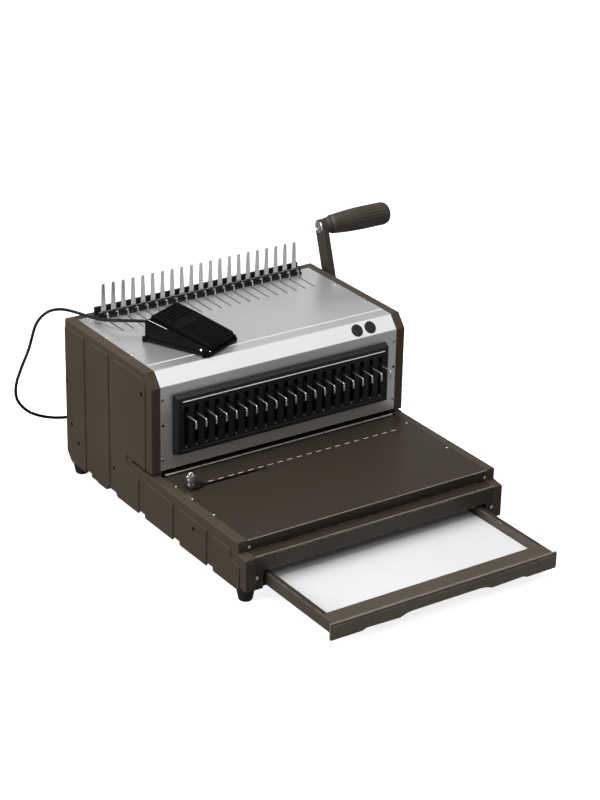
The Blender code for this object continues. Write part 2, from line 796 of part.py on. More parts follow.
def punch_bar(look, machine):
    """The bar that presses the pins down; the selectors latch into its front groove."""
    reach = FRAME_X - BAR_END_GAP
    half, deep = GROOVE_HALF, GROOVE_DEPTH
    outline = [
        (BAR_FRONT, BAR_BOTTOM),
        (BAR_BACK, BAR_BOTTOM),
        (BAR_BACK, BAR_TOP),
        (BAR_FRONT, BAR_TOP),
        (BAR_FRONT, SELECTOR_Z + half),
        (BAR_FRONT + deep, SELECTOR_Z + half),
        (BAR_FRONT + deep, SELECTOR_Z - half),
        (BAR_FRONT, SELECTOR_Z - half),
    ]
    thing("punch_bar", prism(outline, 0, -reach, reach), look, machine, (0, BAR_FRONT, BAR_BOTTOM))


def die_pins(look, machine):
    """The bank of rectangular pins, held together by the keeper that the selectors pass through."""
    front, back = PIN_Y - PIN_DEPTH / 2, PIN_Y + PIN_DEPTH / 2
    tip = DIE_TOP + THROAT + PIN_TIP_RISE
    half = HALF_ROW + PIN_WIDTH / 2 + KEEPER_MARGIN
    outline = [(half, KEEPER_BOTTOM), (half, BAR_TOP), (-half, BAR_TOP), (-half, KEEPER_BOTTOM)]
    for x in row_places():
        outline += [
            (x - PIN_WIDTH / 2, KEEPER_BOTTOM),
            (x - PIN_WIDTH / 2, tip),
            (x + PIN_WIDTH / 2, tip),
            (x + PIN_WIDTH / 2, KEEPER_BOTTOM),
        ]
    pins = thing("die_pins", prism(outline, 1, front, back), look, machine, (0, PIN_Y, tip))
    half_x, half_z = SELECTOR_THICK / 2 + SELECTOR_FIT, SELECTOR_HALF + SELECTOR_FIT
    low, high = SELECTOR_Z - half_z, SELECTOR_Z + half_z
    start, end = front - CUT_PAST, back + CUT_PAST
    cut(pins, [slab((x - half_x, start, low), (x + half_x, end, high)) for x in row_places()], machine)


def selectors(look, machine):
    """A latch rod for each pin, with its end bent down as a finger tab."""
    half, inner = SELECTOR_HALF, BAR_FRONT + GROOVE_DEPTH - 0.0005
    tip, bend, corner = SELECTOR_Z - SELECTOR_DROP, SELECTOR_BEND_Y, SELECTOR_CORNER
    outline = [
        (inner, SELECTOR_Z - half),
        (inner, SELECTOR_Z + half),
        (bend + corner, SELECTOR_Z + half),
        (bend, SELECTOR_Z + half - corner),
        (bend, tip),
        (bend + SELECTOR_TAB, tip),
        (bend + SELECTOR_TAB, SELECTOR_Z - half),
    ]
    shape = None
    for index, x in enumerate(row_places(), start=1):
        name = f"selector_{index:02d}"
        if shape is None:
            mesh = prism(outline, 0, x - SELECTOR_THICK / 2, x + SELECTOR_THICK / 2)
            shape = thing(name, mesh, look, machine, (x, 0, SELECTOR_Z)).data
        else:
            copy = bpy.data.objects.new(name, shape)
            copy.location = (x, 0, SELECTOR_Z)
            copy.parent = machine
            bpy.context.collection.objects.link(copy)


def cam_outline():
    """A spiral whose reach grows in step with its turn, so that the bar goes down in step with the shaft."""
    points = []
    steps = 20
    for index in range(steps + 1):
        turn = math.pi * index / steps
        reach = CAM_START + STROKE * index / steps
        angle = -math.pi / 2 - turn
        points.append((SHAFT_Y + reach * math.cos(angle), SHAFT_Z + reach * math.sin(angle)))
    back = 8
    for index in range(1, back):
        share = index / back
        angle = math.pi / 2 - math.pi * share
        reach = CAM_START + STROKE * (1 - share) ** 2
        points.append((SHAFT_Y + reach * math.cos(angle), SHAFT_Z + reach * math.sin(angle)))
    return points


def cam_shaft(look, machine):
    end = FRAME_X + FRAME_THICK - GAP
    shaft = thing(
        "cam_shaft",
        rod(SHAFT_RADIUS, 0, -end, end, (SHAFT_Y, SHAFT_Z)),
        look,
        machine,
        (0, SHAFT_Y, SHAFT_Z),
    )
    for side in (-1, 1):
        near = side * CAM_X - CAM_THICK / 2
        add(shaft, prism(cam_outline(), 0, near, near + CAM_THICK), machine)


def tooth_outline(turn):
    """A spur pinion about the origin, first tooth space at the given turn."""
    points = []
    pitch_angle = math.tau / PINION_TEETH
    root, tip = PINION_RADIUS - TOOTH_ROOT, PINION_RADIUS + TOOTH_TIP
    for index in range(PINION_TEETH):
        middle = turn + (index + 0.5) * pitch_angle
        for reach, share in ((root, -0.30), (tip, -0.11), (tip, 0.11), (root, 0.30)):
            angle = middle + share * pitch_angle
            points.append((reach * math.cos(angle), reach * math.sin(angle)))
    return points


def lever_shaft(look, machine):
    """The cross shaft behind the head, with a pinion at each end of the hook carriage."""
    start, end = GAP - FRAME_X - FRAME_THICK, ARM_X + ARM_THICK - 0.001
    shaft = thing(
        "lever_shaft",
        rod(LEVER_SHAFT_RADIUS, 0, start, end, (LEVER_Y, LEVER_Z)),
        look,
        machine,
        (0, LEVER_Y, LEVER_Z),
    )
    teeth = [(LEVER_Y + y, LEVER_Z + z) for y, z in tooth_outline(math.pi / 2)]
    for side in (-1, 1):
        near = side * PINION_X - PINION_WIDTH / 2
        add(shaft, prism(teeth, 0, near, near + PINION_WIDTH), machine)


def hook_carriage(look, machine):
    """The plate that carries a hook for each ring, with a toothed rack at either end."""
    front, back = HOOK_Y - HOOK_DEPTH / 2, HOOK_Y + HOOK_DEPTH / 2
    low, high = CARRIAGE_LOW, CARRIAGE_HIGH
    reach = PINION_X + PINION_WIDTH / 2
    outline = [(-reach, low), (reach, low), (reach, high)]
    for x in reversed(row_places()):
        outline += [
            (x + HOOK_WIDTH / 2, high),
            (x + HOOK_WIDTH / 2, HOOK_TOP),
            (x - HOOK_WIDTH / 2, HOOK_TOP),
            (x - HOOK_WIDTH / 2, high),
        ]
    outline.append((-reach, high))
    carriage = thing("hook_carriage", prism(outline, 1, front, back), look, machine, (0, HOOK_Y, low))
    pitch = math.pi * TOOTH_MODULE
    line = LEVER_Z + PINION_RADIUS
    root, tip = line + TOOTH_ROOT, line - TOOTH_TIP
    first = LEVER_Y - pitch
    start, end = first - pitch / 2, first + (RACK_TEETH - 0.5) * pitch
    rack = [(end, high), (start, high), (start, root)]
    for index in range(RACK_TEETH):
        middle = first + index * pitch
        rack += [
            (middle - 0.28 * pitch, root),
            (middle - 0.12 * pitch, tip),
            (middle + 0.12 * pitch, tip),
            (middle + 0.28 * pitch, root),
        ]
    rack.append((end, root))
    for side in (-1, 1):
        near = side * PINION_X - PINION_WIDTH / 2
        add(carriage, prism(rack, 0, near, near + PINION_WIDTH), machine)


def grip_centre():
    """Where the grip's axis crosses the lever arm."""
    return (LEVER_Y + LEVER_LENGTH * math.sin(LEVER_LEAN), LEVER_Z + LEVER_LENGTH * math.cos(LEVER_LEAN))


def lever_arm(look, machine):
    """A flat arm with round ends, leaning back, bored for its shaft and for the grip's bolt."""
    half = ARM_WIDTH / 2
    along = (math.sin(LEVER_LEAN), math.cos(LEVER_LEAN))
    across = (along[1], -along[0])
    outline = []
    steps = 8
    for (y, z), turn in ((grip_centre(), 0.0), ((LEVER_Y, LEVER_Z), math.pi)):
        for index in range(steps + 1):
            angle = turn + math.pi * index / steps
            a, b = half * math.cos(angle), half * math.sin(angle)
            outline.append((y + a * across[0] + b * along[0], z + a * across[1] + b * along[1]))
    end = ARM_X + ARM_THICK
    arm = thing("lever_arm", prism(outline, 0, ARM_X, end), look, machine, (0, LEVER_Y, LEVER_Z))
    cut(
        arm,
        [
            rod(LEVER_SHAFT_RADIUS + GAP, 0, ARM_X - CUT_PAST, end + CUT_PAST, (LEVER_Y, LEVER_Z)),
            rod(BOLT_RADIUS + GAP, 0, ARM_X - CUT_PAST, end + CUT_PAST, grip_centre()),
        ],
        machine,
    )


def handle_grip(look, machine):
    """The turning grip, fatter towards its end."""
    y, z = grip_centre()
    start, end = GRIP_START, GRIP_END
    bore, bore_end = BOLT_RADIUS + GAP, ARM_X + ARM_THICK + BOLT_LENGTH + GRIP_GAP
    lip, step, round_off = 0.0015, 0.0025, 0.0045
    profile = [
        (bore, start),
        (GRIP_NECK - lip, start),
        (GRIP_NECK, start + lip),
        (GRIP_NECK, start + GRIP_NECK_LENGTH),
        (GRIP_WAIST, start + GRIP_NECK_LENGTH + step),
        (GRIP_RADIUS, start + GRIP_TAPER_END),
        (GRIP_RADIUS, end - 0.006),
        (GRIP_RADIUS - lip, end - 0.002),
        (GRIP_RADIUS - round_off, end),
        (0, end),
        (0, bore_end),
        (bore, bore_end),
        (bore, start),
    ]
    thing("handle_grip", turned(profile, 0, (0, y, z), 20), look, machine, (0, y, z), smooth=True)


def grip_bolt(look, machine):
    """The shouldered bolt that the grip turns on, with a hollow head on the arm's inner side."""
    y, z = grip_centre()
    end, head = ARM_X + ARM_THICK + BOLT_LENGTH, ARM_X - GAP
    socket, socket_end = 0.0022, head + 0.0005
    profile = [
        (0, socket_end),
        (socket, socket_end),
        (socket, head - BOLT_HEAD),
        (BOLT_HEAD_RADIUS, head - BOLT_HEAD),
        (BOLT_HEAD_RADIUS, head),
        (BOLT_RADIUS, head),
        (BOLT_RADIUS, end),
        (0, end),
    ]
    thing("grip_bolt", turned(profile, 0, (0, y, z), 16), look, machine, (0, y, z), smooth=True)


def drawer_tray(look, machine):
    front = DRAWER_FRONT_Y + DRAWER_PANEL + GAP
    back = front + DRAWER_LENGTH
    tray = thing(
        "drawer_tray",
        slab((-DRAWER_HALF, front, DRAWER_BOTTOM), (DRAWER_HALF, back, DRAWER_TOP)),
        look,
        machine,
        (0, front, DRAWER_BOTTOM),
    )
    inner = DRAWER_HALF - DRAWER_RIM
    under = DRAWER_FLOOR - DRAWER_FLOOR_THICK
    end = back - DRAWER_RIM
    cut(
        tray,
        [
            slab((-inner, front + DRAWER_BAND, DRAWER_FLOOR), (inner, end, DRAWER_TOP + CUT_PAST)),
            slab((-inner, front + DRAWER_RIM, DRAWER_BOTTOM - CUT_PAST), (inner, end, under)),
        ],
        machine,
    )


def drawer_front(look, machine):
    """The drawer's face, with a finger scoop along the middle of its lower edge."""
    low, high, half = DRAWER_PANEL_BOTTOM, DRAWER_TOP + GAP, DRAWER_PANEL_HALF
    scoop_low, scoop_high = 0.0646, 0.0485
    outline = [
        (-half, low),
        (-half, high),
        (half, high),
        (half, low),
        (scoop_low, low),
        (scoop_high, low + DRAWER_SCOOP),
        (-scoop_high, low + DRAWER_SCOOP),
        (-scoop_low, low),
    ]
    mesh = prism(outline, 1, DRAWER_FRONT_Y, DRAWER_FRONT_Y + DRAWER_PANEL)
    thing("drawer_front", mesh, look, machine, (0, DRAWER_FRONT_Y, low))


def edge_guide(look, machine):
    """The side stop on the table: a wedge with a neck through the slot and a bored boss for its knob."""
    top = TABLE_TOP + GAP
    floor = top + GUIDE_FLOOR
    left, right, ridge, valley, ridge_rise = 0.0085, 0.0120, 0.0085, 0.0010, 0.003
    outline = [
        (GUIDE_X - left, top),
        (GUIDE_X + right, top),
        (GUIDE_X + right, floor),
        (GUIDE_X + ridge, floor + ridge_rise),
        (GUIDE_X - valley, floor),
        (GUIDE_X - left, floor),
    ]
    origin = (GUIDE_X, GUIDE_Y, top)
    guide = thing("edge_guide", prism(outline, 1, GUIDE_Y - 0.007, GUIDE_Y + 0.010), look, machine, origin)
    across = GUIDE_SLOT / 2 - 0.0004
    neck = slab(
        (GUIDE_X - GUIDE_NECK, GUIDE_Y - across, TABLE_TOP - SHEET - CUT_PAST),
        (GUIDE_X + GUIDE_NECK, GUIDE_Y + across, floor - GAP),
    )
    add(guide, neck, machine)


def guide_knob(look, machine):
    """The stepped clamp knob of the edge guide."""
    base = TABLE_TOP + GAP + GUIDE_FLOOR + GAP
    neck_end, flare, edge = base + 0.0055, 0.003, 0.0008
    top = base + KNOB_HEIGHT
    profile = [
        (0, base),
        (KNOB_NECK, base),
        (KNOB_NECK, neck_end),
        (KNOB_RADIUS, neck_end + flare),
        (KNOB_RADIUS, top - edge),
        (KNOB_RADIUS - edge, top),
        (0, top),
    ]
    centre = (GUIDE_X - KNOB_INSET, GUIDE_Y, 0)
    mesh = turned(profile, 2, centre, 18)
    thing("guide_knob", mesh, look, machine, (centre[0], centre[1], base), smooth=True)


def cord_socket(look, machine):
    """The gland that the pedal cord enters on the back panel."""
    face, end = REAR_Y + GAP, CORD_END_Y - GAP
    inside, rim, sleeve = REAR_Y - 0.008, 0.0075, CORD_RADIUS + 0.0012
    profile = [
        (0, inside),
        (SOCKET_RADIUS, inside),
        (SOCKET_RADIUS, face),
        (rim, face),
        (rim, face + 0.003),
        (SOCKET_RADIUS, face + 0.004),
        (sleeve, end),
        (0, end),
    ]
    thing("cord_socket", turned(profile, 1, (SOCKET_X, 0, SOCKET_Z), 16), look, machine, smooth=True)


def lifted(x, y, z):
    """A taller head lifts the route's points in proportion to their height over the socket."""
    share = min(1.0, max(0.0, (z - SOCKET_Z) / (CORD_HEAD - SOCKET_Z)))
    return (x, y, z + share * (HEAD_TOP - CORD_HEAD))


def smooth_route(points, steps):
    """A Catmull-Rom curve through the route's points."""
    ends = [2 * Vector(points[0]) - Vector(points[1])]
    ends += [Vector(point) for point in points]
    ends.append(2 * Vector(points[-1]) - Vector(points[-2]))
    line = []
    for a, b, c, d in zip(ends, ends[1:], ends[2:], ends[3:]):
        for index in range(steps):
            t = index / steps
            place = 2 * b + (c - a) * t + (2 * a - 5 * b + 4 * c - d) * t**2 + (3 * b - a - 3 * c + d) * t**3
            line.append(place / 2)
    line.append(ends[-2])
    return line


def pedal_cord(look, machine):
    line = smooth_route([lifted(*point) for point in CORD_ROUTE], CORD_STEPS)
    data = bpy.data.curves.new("pedal_cord", "CURVE")
    data.dimensions = "3D"
    spline = data.splines.new("POLY")
    spline.points.add(len(line) - 1)
    for point, place in zip(spline.points, line):
        point.co = (*place, 1.0)
    data.bevel_depth = CORD_RADIUS
    data.bevel_resolution = 2
    data.use_fill_caps = True
    data.materials.append(look)
    cord = bpy.data.objects.new("pedal_cord", data)
    cord.parent = machine
    bpy.context.collection.objects.link(cord)


def pedal_base(look, pedal):
    """The pedal's lower housing: an open trough with sloping side walls."""
    long, half = PEDAL_HALF_LENGTH, PEDAL_HALF_WIDTH
    back_top = TREADLE_REAR - 0.0095
    bevel, slope = 0.004, 0.005
    outline = [
        (-long, 0.0),
        (long, 0.0),
        (long, back_top),
        (long - bevel, back_top + slope),
        (TREADLE_PIN_V - bevel, TREADLE_PIN_Z + bevel),
        (-long, TREADLE_PIN_Z),
    ]
    base = thing("pedal_base", prism(outline, 0, -half, half), look, pedal)
    inner = half - PEDAL_WALL
    front, rear, high = -long - CUT_PAST, long - PEDAL_WALL, TREADLE_REAR + CUT_PAST
    trough = slab((-inner, front, PEDAL_FLOOR), (inner, rear, high))
    cut(base, [trough], pedal)


def pedal_treadle(look, pedal):
    """The foot plate, hinged at its front end."""
    half = PEDAL_HALF_WIDTH - PEDAL_WALL - TREADLE_FIT
    rear = PEDAL_HALF_LENGTH - PEDAL_WALL - TREADLE_SWEEP
    front, bend, edge, rib = 0.002 - PEDAL_HALF_LENGTH, TREADLE_BEND_V, 0.001, 0.003
    rise = TREADLE_REAR - TREADLE_FRONT
    bend_z = TREADLE_FRONT + rise * (bend - front) / (rear - front) + TREADLE_BEND_RISE
    skirt = TREADLE_FRONT - TREADLE_SKIRT
    outline = [
        (front, skirt),
        (front, TREADLE_FRONT - edge),
        (front + edge, TREADLE_FRONT),
        (bend, bend_z),
        (rear - edge, TREADLE_REAR),
        (rear, TREADLE_REAR - edge),
        (rear, TREADLE_REAR - 2 * TREADLE_THICK),
        (rear - rib, TREADLE_REAR - 2 * TREADLE_THICK),
        (rear - rib, TREADLE_REAR - TREADLE_THICK),
        (bend, bend_z - TREADLE_THICK),
        (front + 0.022, skirt),
    ]
    mesh = prism(outline, 0, -half, half)
    thing("pedal_treadle", mesh, look, pedal, (0, TREADLE_PIN_V, TREADLE_PIN_Z))


def build():
    clear_scene()
    brown = finish("brown_plastic", (0.062, 0.050, 0.037), 0.5)
    brown_sheet = finish("brown_sheet", (0.045, 0.036, 0.026), 0.42)
    silver = finish("silver_sheet", (0.36, 0.37, 0.38), 0.35, 0.6)
    black = finish("black_plastic", (0.012, 0.012, 0.012), 0.45)
    steel = finish("bright_steel", (0.62, 0.62, 0.62), 0.25, 1.0)
    zinc = finish("zinc_plate", (0.40, 0.40, 0.41), 0.45, 1.0)
    rubber = finish("rubber", (0.02, 0.02, 0.02), 0.8)

    machine = bpy.data.objects.new("machine", None)
    machine.location = (-MIDDLE_X, -MIDDLE_Y, FOOT_HEIGHT)
    bpy.context.collection.objects.link(machine)
    pedal = bpy.data.objects.new("pedal", None)
    pedal.location = (PEDAL_X, PEDAL_Y, HEAD_TOP + GAP)
    pedal.rotation_euler = (0, 0, PEDAL_TURN)
    pedal.parent = machine
    bpy.context.collection.objects.link(pedal)

    base_pan(zinc, machine)
    side_cover("left_side_cover", -1, brown, machine)
    side_cover("right_side_cover", 1, brown, machine)
    frame_plate("left_frame_plate", -1, zinc, machine)
    frame_plate("right_frame_plate", 1, zinc, machine)
    feet(rubber, machine)
    front_fascia(silver, machine)
    top_plate(silver, machine)
    rear_cover(brown_sheet, machine)
    power_inlet(black, machine)
    power_switch(black, machine)
    tab_cover(black, machine)
    paper_table(brown_sheet, machine)
    front_cover(brown_sheet, machine)
    comb_rail(black, machine)
    comb_tines(steel, machine)
    die_plate(steel, machine)
    pin_guide(zinc, machine)
    gear_motor(zinc, machine)
    return_spring(steel, machine)
    punch_bar(zinc, machine)
    die_pins(steel, machine)
    selectors(steel, machine)
    cam_shaft(steel, machine)
    lever_shaft(steel, machine)
    hook_carriage(steel, machine)
    lever_arm(brown_sheet, machine)
    handle_grip(brown, machine)
    grip_bolt(steel, machine)
    drawer_tray(brown, machine)
    drawer_front(brown, machine)
    edge_guide(black, machine)
    guide_knob(steel, machine)
    cord_socket(black, machine)
    pedal_cord(black, machine)
    pedal_base(black, pedal)
    pedal_treadle(black, pedal)


build()
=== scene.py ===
import math

import bmesh
import bpy
from mathutils import Matrix, Vector


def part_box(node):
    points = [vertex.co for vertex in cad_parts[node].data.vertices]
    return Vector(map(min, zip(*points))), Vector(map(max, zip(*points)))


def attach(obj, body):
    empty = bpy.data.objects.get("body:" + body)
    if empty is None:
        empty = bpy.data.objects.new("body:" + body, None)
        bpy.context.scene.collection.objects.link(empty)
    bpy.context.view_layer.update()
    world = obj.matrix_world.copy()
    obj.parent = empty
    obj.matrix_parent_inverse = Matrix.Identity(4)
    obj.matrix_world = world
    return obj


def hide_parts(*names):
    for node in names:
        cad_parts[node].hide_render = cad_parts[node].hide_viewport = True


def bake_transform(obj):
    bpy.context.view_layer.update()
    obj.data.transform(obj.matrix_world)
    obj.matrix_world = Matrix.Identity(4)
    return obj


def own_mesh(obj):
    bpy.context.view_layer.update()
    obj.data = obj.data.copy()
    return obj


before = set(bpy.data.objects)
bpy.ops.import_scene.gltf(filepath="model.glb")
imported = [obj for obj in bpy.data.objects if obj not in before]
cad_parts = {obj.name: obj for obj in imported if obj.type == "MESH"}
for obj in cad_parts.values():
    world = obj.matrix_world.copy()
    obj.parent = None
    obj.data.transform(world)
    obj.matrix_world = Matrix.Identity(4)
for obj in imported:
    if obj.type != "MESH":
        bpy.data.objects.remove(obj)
for startupObject in ("Cube", "Light", "Camera"):
    if startupObject in bpy.data.objects:
        bpy.data.objects.remove(bpy.data.objects[startupObject], do_unlink=True)
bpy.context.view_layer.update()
print("frame loaded:", len(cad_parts), "nodes")

# All pieces are drawn from the casing's own corner: x from its middle, y from the head's front,
# z from its underside. They are moved to the frame's place when they are finished.
origin = Vector((
    (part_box("left_side_cover")[0].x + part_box("right_side_cover")[1].x) / 2,
    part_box("front_fascia")[0].y,
    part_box("left_side_cover")[0].z,
))


def casingBox(node):
    return [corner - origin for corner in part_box(node)]


coverLow, coverHigh = casingBox("right_side_cover")
halfWidth, coverInner = coverHigh.x, coverLow.x
frontY, rearY, headTop = coverLow.y, coverHigh.y, coverHigh.z
tableTop = casingBox("paper_table")[1].z
apronY = casingBox("paper_table")[0].y
shelfTop = casingBox("front_cover")[1].z
ringCount = 21
tineMargin = 0.006  # the sheet of tines runs on past its outer ones
tineLow, tineHigh = casingBox("comb_tines")
ringPitch = (tineHigh.x - tineLow.x - 2 * tineMargin) / (ringCount - 1)
ringPlaces = [(index - (ringCount - 1) / 2) * ringPitch for index in range(ringCount)]


# modelling helpers
def block(low, high):
    mesh = bmesh.new()
    bmesh.ops.create_cube(mesh, size=1.0)
    bmesh.ops.scale(mesh, vec=[b - a for a, b in zip(low, high)], verts=mesh.verts)
    bmesh.ops.translate(mesh, vec=[(a + b) / 2 for a, b in zip(low, high)], verts=mesh.verts)
    return mesh


def outlineSolid(points, axis, start, end, rounding=0.0, roundedSteps=4, roundedCorners=None):
    # an outline of the two other coordinates, rounded at its corners and extruded along an axis
    mesh = bmesh.new()
    corners = []
    for first, second in points:
        place = [first, second]
        place.insert(axis, start)
        corners.append(mesh.verts.new(place))
    mesh.faces.new(corners)
    if rounding:
        chosen = corners if roundedCorners is None else [corners[index] for index in roundedCorners]
        bmesh.ops.bevel(mesh, geom=chosen, offset=rounding, offset_type="OFFSET", segments=roundedSteps,
                        profile=0.5, affect="VERTICES", material=-1)
    grown = bmesh.ops.extrude_face_region(mesh, geom=mesh.faces[:])["geom"]
    shift = Vector((0.0, 0.0, 0.0))
    shift[axis] = end - start
    moved = [item for item in grown if isinstance(item, bmesh.types.BMVert)]
    bmesh.ops.translate(mesh, vec=shift, verts=moved)
    bmesh.ops.recalc_face_normals(mesh, faces=mesh.faces[:])
    return mesh


def turnedSolid(profile, centre, axis, steps):
    # a closed profile of (radius, height) turned a full round about an axis
    mesh = bmesh.new()
    line = [mesh.verts.new((radius, 0.0, height)) for radius, height in profile]
    edges = [mesh.edges.new(pair) for pair in zip(line, line[1:])]
    bmesh.ops.spin(mesh, geom=line + edges, cent=(0, 0, 0), axis=(0, 0, 1), angle=2 * math.pi,
                   steps=steps, use_merge=True)
    bmesh.ops.remove_doubles(mesh, verts=mesh.verts[:], dist=1e-6)
    bmesh.ops.recalc_face_normals(mesh, faces=mesh.faces[:])
    quarter = math.pi / 2
    turn = (Matrix.Rotation(quarter, 4, "Y"), Matrix.Rotation(-quarter, 4, "X"), Matrix.Identity(4))
    bmesh.ops.transform(mesh, matrix=Matrix.Translation(centre) @ turn[axis], verts=mesh.verts[:])
    return mesh


def softened(mesh, width, segments=2, angle=30.0, chooser=None):
    # bevels the edges that are sharper than an angle
    sharp = [
        edge for edge in mesh.edges
        if len(edge.link_faces) == 2 and edge.calc_face_angle(0.0) > math.radians(angle)
        and (chooser is None or chooser(edge))
    ]
    bmesh.ops.bevel(mesh, geom=sharp, offset=width, offset_type="OFFSET", segments=segments, profile=0.5,
                    affect="EDGES", clamp_overlap=True, material=-1)
    return mesh


def joined(*meshes):
    whole = bmesh.new()
    for mesh in meshes:
        data = bpy.data.meshes.new("joining")
        mesh.to_mesh(data)
        mesh.free()
        whole.from_mesh(data)
        bpy.data.meshes.remove(data)
    return whole


def combined(base, others, operation):
    # an exact Boolean of one solid with several that don't touch each other
    objects = []
    for mesh in (base, joined(*others)):
        data = bpy.data.meshes.new("combining")
        mesh.to_mesh(data)
        mesh.free()
        made = bpy.data.objects.new("combining", data)
        bpy.context.scene.collection.objects.link(made)
        objects.append(made)
    step = objects[0].modifiers.new("combine", "BOOLEAN")
    step.operation, step.solver, step.object = operation, "EXACT", objects[1]
    graph = bpy.context.evaluated_depsgraph_get()
    result = bmesh.new()
    result.from_mesh(objects[0].evaluated_get(graph).to_mesh())
    for made in objects:
        data = made.data
        bpy.data.objects.remove(made, do_unlink=True)
        bpy.data.meshes.remove(data)
    return result


def tube(line, radius, sides=10):
    # a round tube along points, as a bmesh
    data = bpy.data.curves.new("tube", "CURVE")
    data.dimensions = "3D"
    spline = data.splines.new("POLY")
    spline.points.add(len(line) - 1)
    for point, place in zip(spline.points, line):
        point.co = (*place, 1.0)
    data.bevel_depth = radius
    data.bevel_resolution = max(1, (sides - 4) // 2)
    data.use_fill_caps = True
    made = bpy.data.objects.new("tube", data)
    bpy.context.scene.collection.objects.link(made)
    graph = bpy.context.evaluated_depsgraph_get()
    result = bmesh.new()
    result.from_mesh(made.evaluated_get(graph).to_mesh())
    bpy.data.objects.remove(made, do_unlink=True)
    bpy.data.curves.remove(data)
    bmesh.ops.remove_doubles(result, verts=result.verts[:], dist=1e-6)
    bmesh.ops.recalc_face_normals(result, faces=result.faces[:])
    return result


def smoothLine(points, steps):
    # a Catmull-Rom curve through the points
    ends = [2 * Vector(points[0]) - Vector(points[1])]
    ends += [Vector(point) for point in points]
    ends.append(2 * Vector(points[-1]) - Vector(points[-2]))
    line = []
    for a, b, c, d in zip(ends, ends[1:], ends[2:], ends[3:]):
        for index in range(steps):
            t = index / steps
            place = 2 * b + (c - a) * t + (2 * a - 5 * b + 4 * c - d) * t**2 + (3 * b - a - 3 * c + d) * t**3
            line.append(place / 2)
    line.append(ends[-2])
    return line


def shapedObject(name, mesh, look, smoothAngle=32.0):
    bmesh.ops.translate(mesh, vec=origin, verts=mesh.verts[:])
    data = bpy.data.meshes.new(name)
    mesh.to_mesh(data)
    mesh.free()
    for face in data.polygons:
        face.use_smooth = True
    data.set_sharp_from_angle(angle=math.radians(smoothAngle))
    data.materials.append(look)
    made = bpy.data.objects.new(name, data)
    bpy.context.scene.collection.objects.link(made)
    even = made.modifiers.new("even", "WEIGHTED_NORMAL")
    even.weight, even.keep_sharp = 90, True
    return made


def piece(name, mesh, body, look, replaced=(), smoothAngle=32.0):
    made = shapedObject(name, mesh, look, smoothAngle)
    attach(made, body)
    if replaced:
        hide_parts(*replaced)
    return made


def dressNode(node, look, edge=0.0004, segments=2):
    # a CAD node keeps its mesh; its edges are eased and its material replaced
    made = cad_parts[node]
    made.data.materials.clear()
    made.data.materials.append(look)
    if edge:
        weld = made.modifiers.new("weld", "WELD")
        weld.merge_threshold = 1e-5
        flat = made.modifiers.new("flat", "DECIMATE")
        flat.decimate_type = "DISSOLVE"
        flat.angle_limit = math.radians(0.6)
        ease = made.modifiers.new("ease", "BEVEL")
        ease.width = edge
        ease.segments = segments
        ease.limit_method = "ANGLE"
        ease.angle_limit = math.radians(30)
        ease.harden_normals = True


# camera
view = {
    "place": (-1.50512, -2.10019, 1.32432),
    "yaw": 0.5985, "pitch": -0.428, "roll": 0.0209,
    "lens": 104.34, "sensor": 36.0,
}
cameraData = bpy.data.cameras.new("viewpoint")
cameraData.lens, cameraData.sensor_width = view["lens"], view["sensor"]
cameraData.clip_start, cameraData.clip_end = 0.05, 50
viewpoint = bpy.data.objects.new("viewpoint", cameraData)
viewpoint.matrix_world = (
    Matrix.Translation(view["place"])
    @ Matrix.Rotation(-view["yaw"], 4, "Z")
    @ Matrix.Rotation(math.pi / 2 + view["pitch"], 4, "X")
    @ Matrix.Rotation(view["roll"], 4, "Z")
)
bpy.context.scene.collection.objects.link(viewpoint)
bpy.context.scene.camera = viewpoint
print("camera placed")


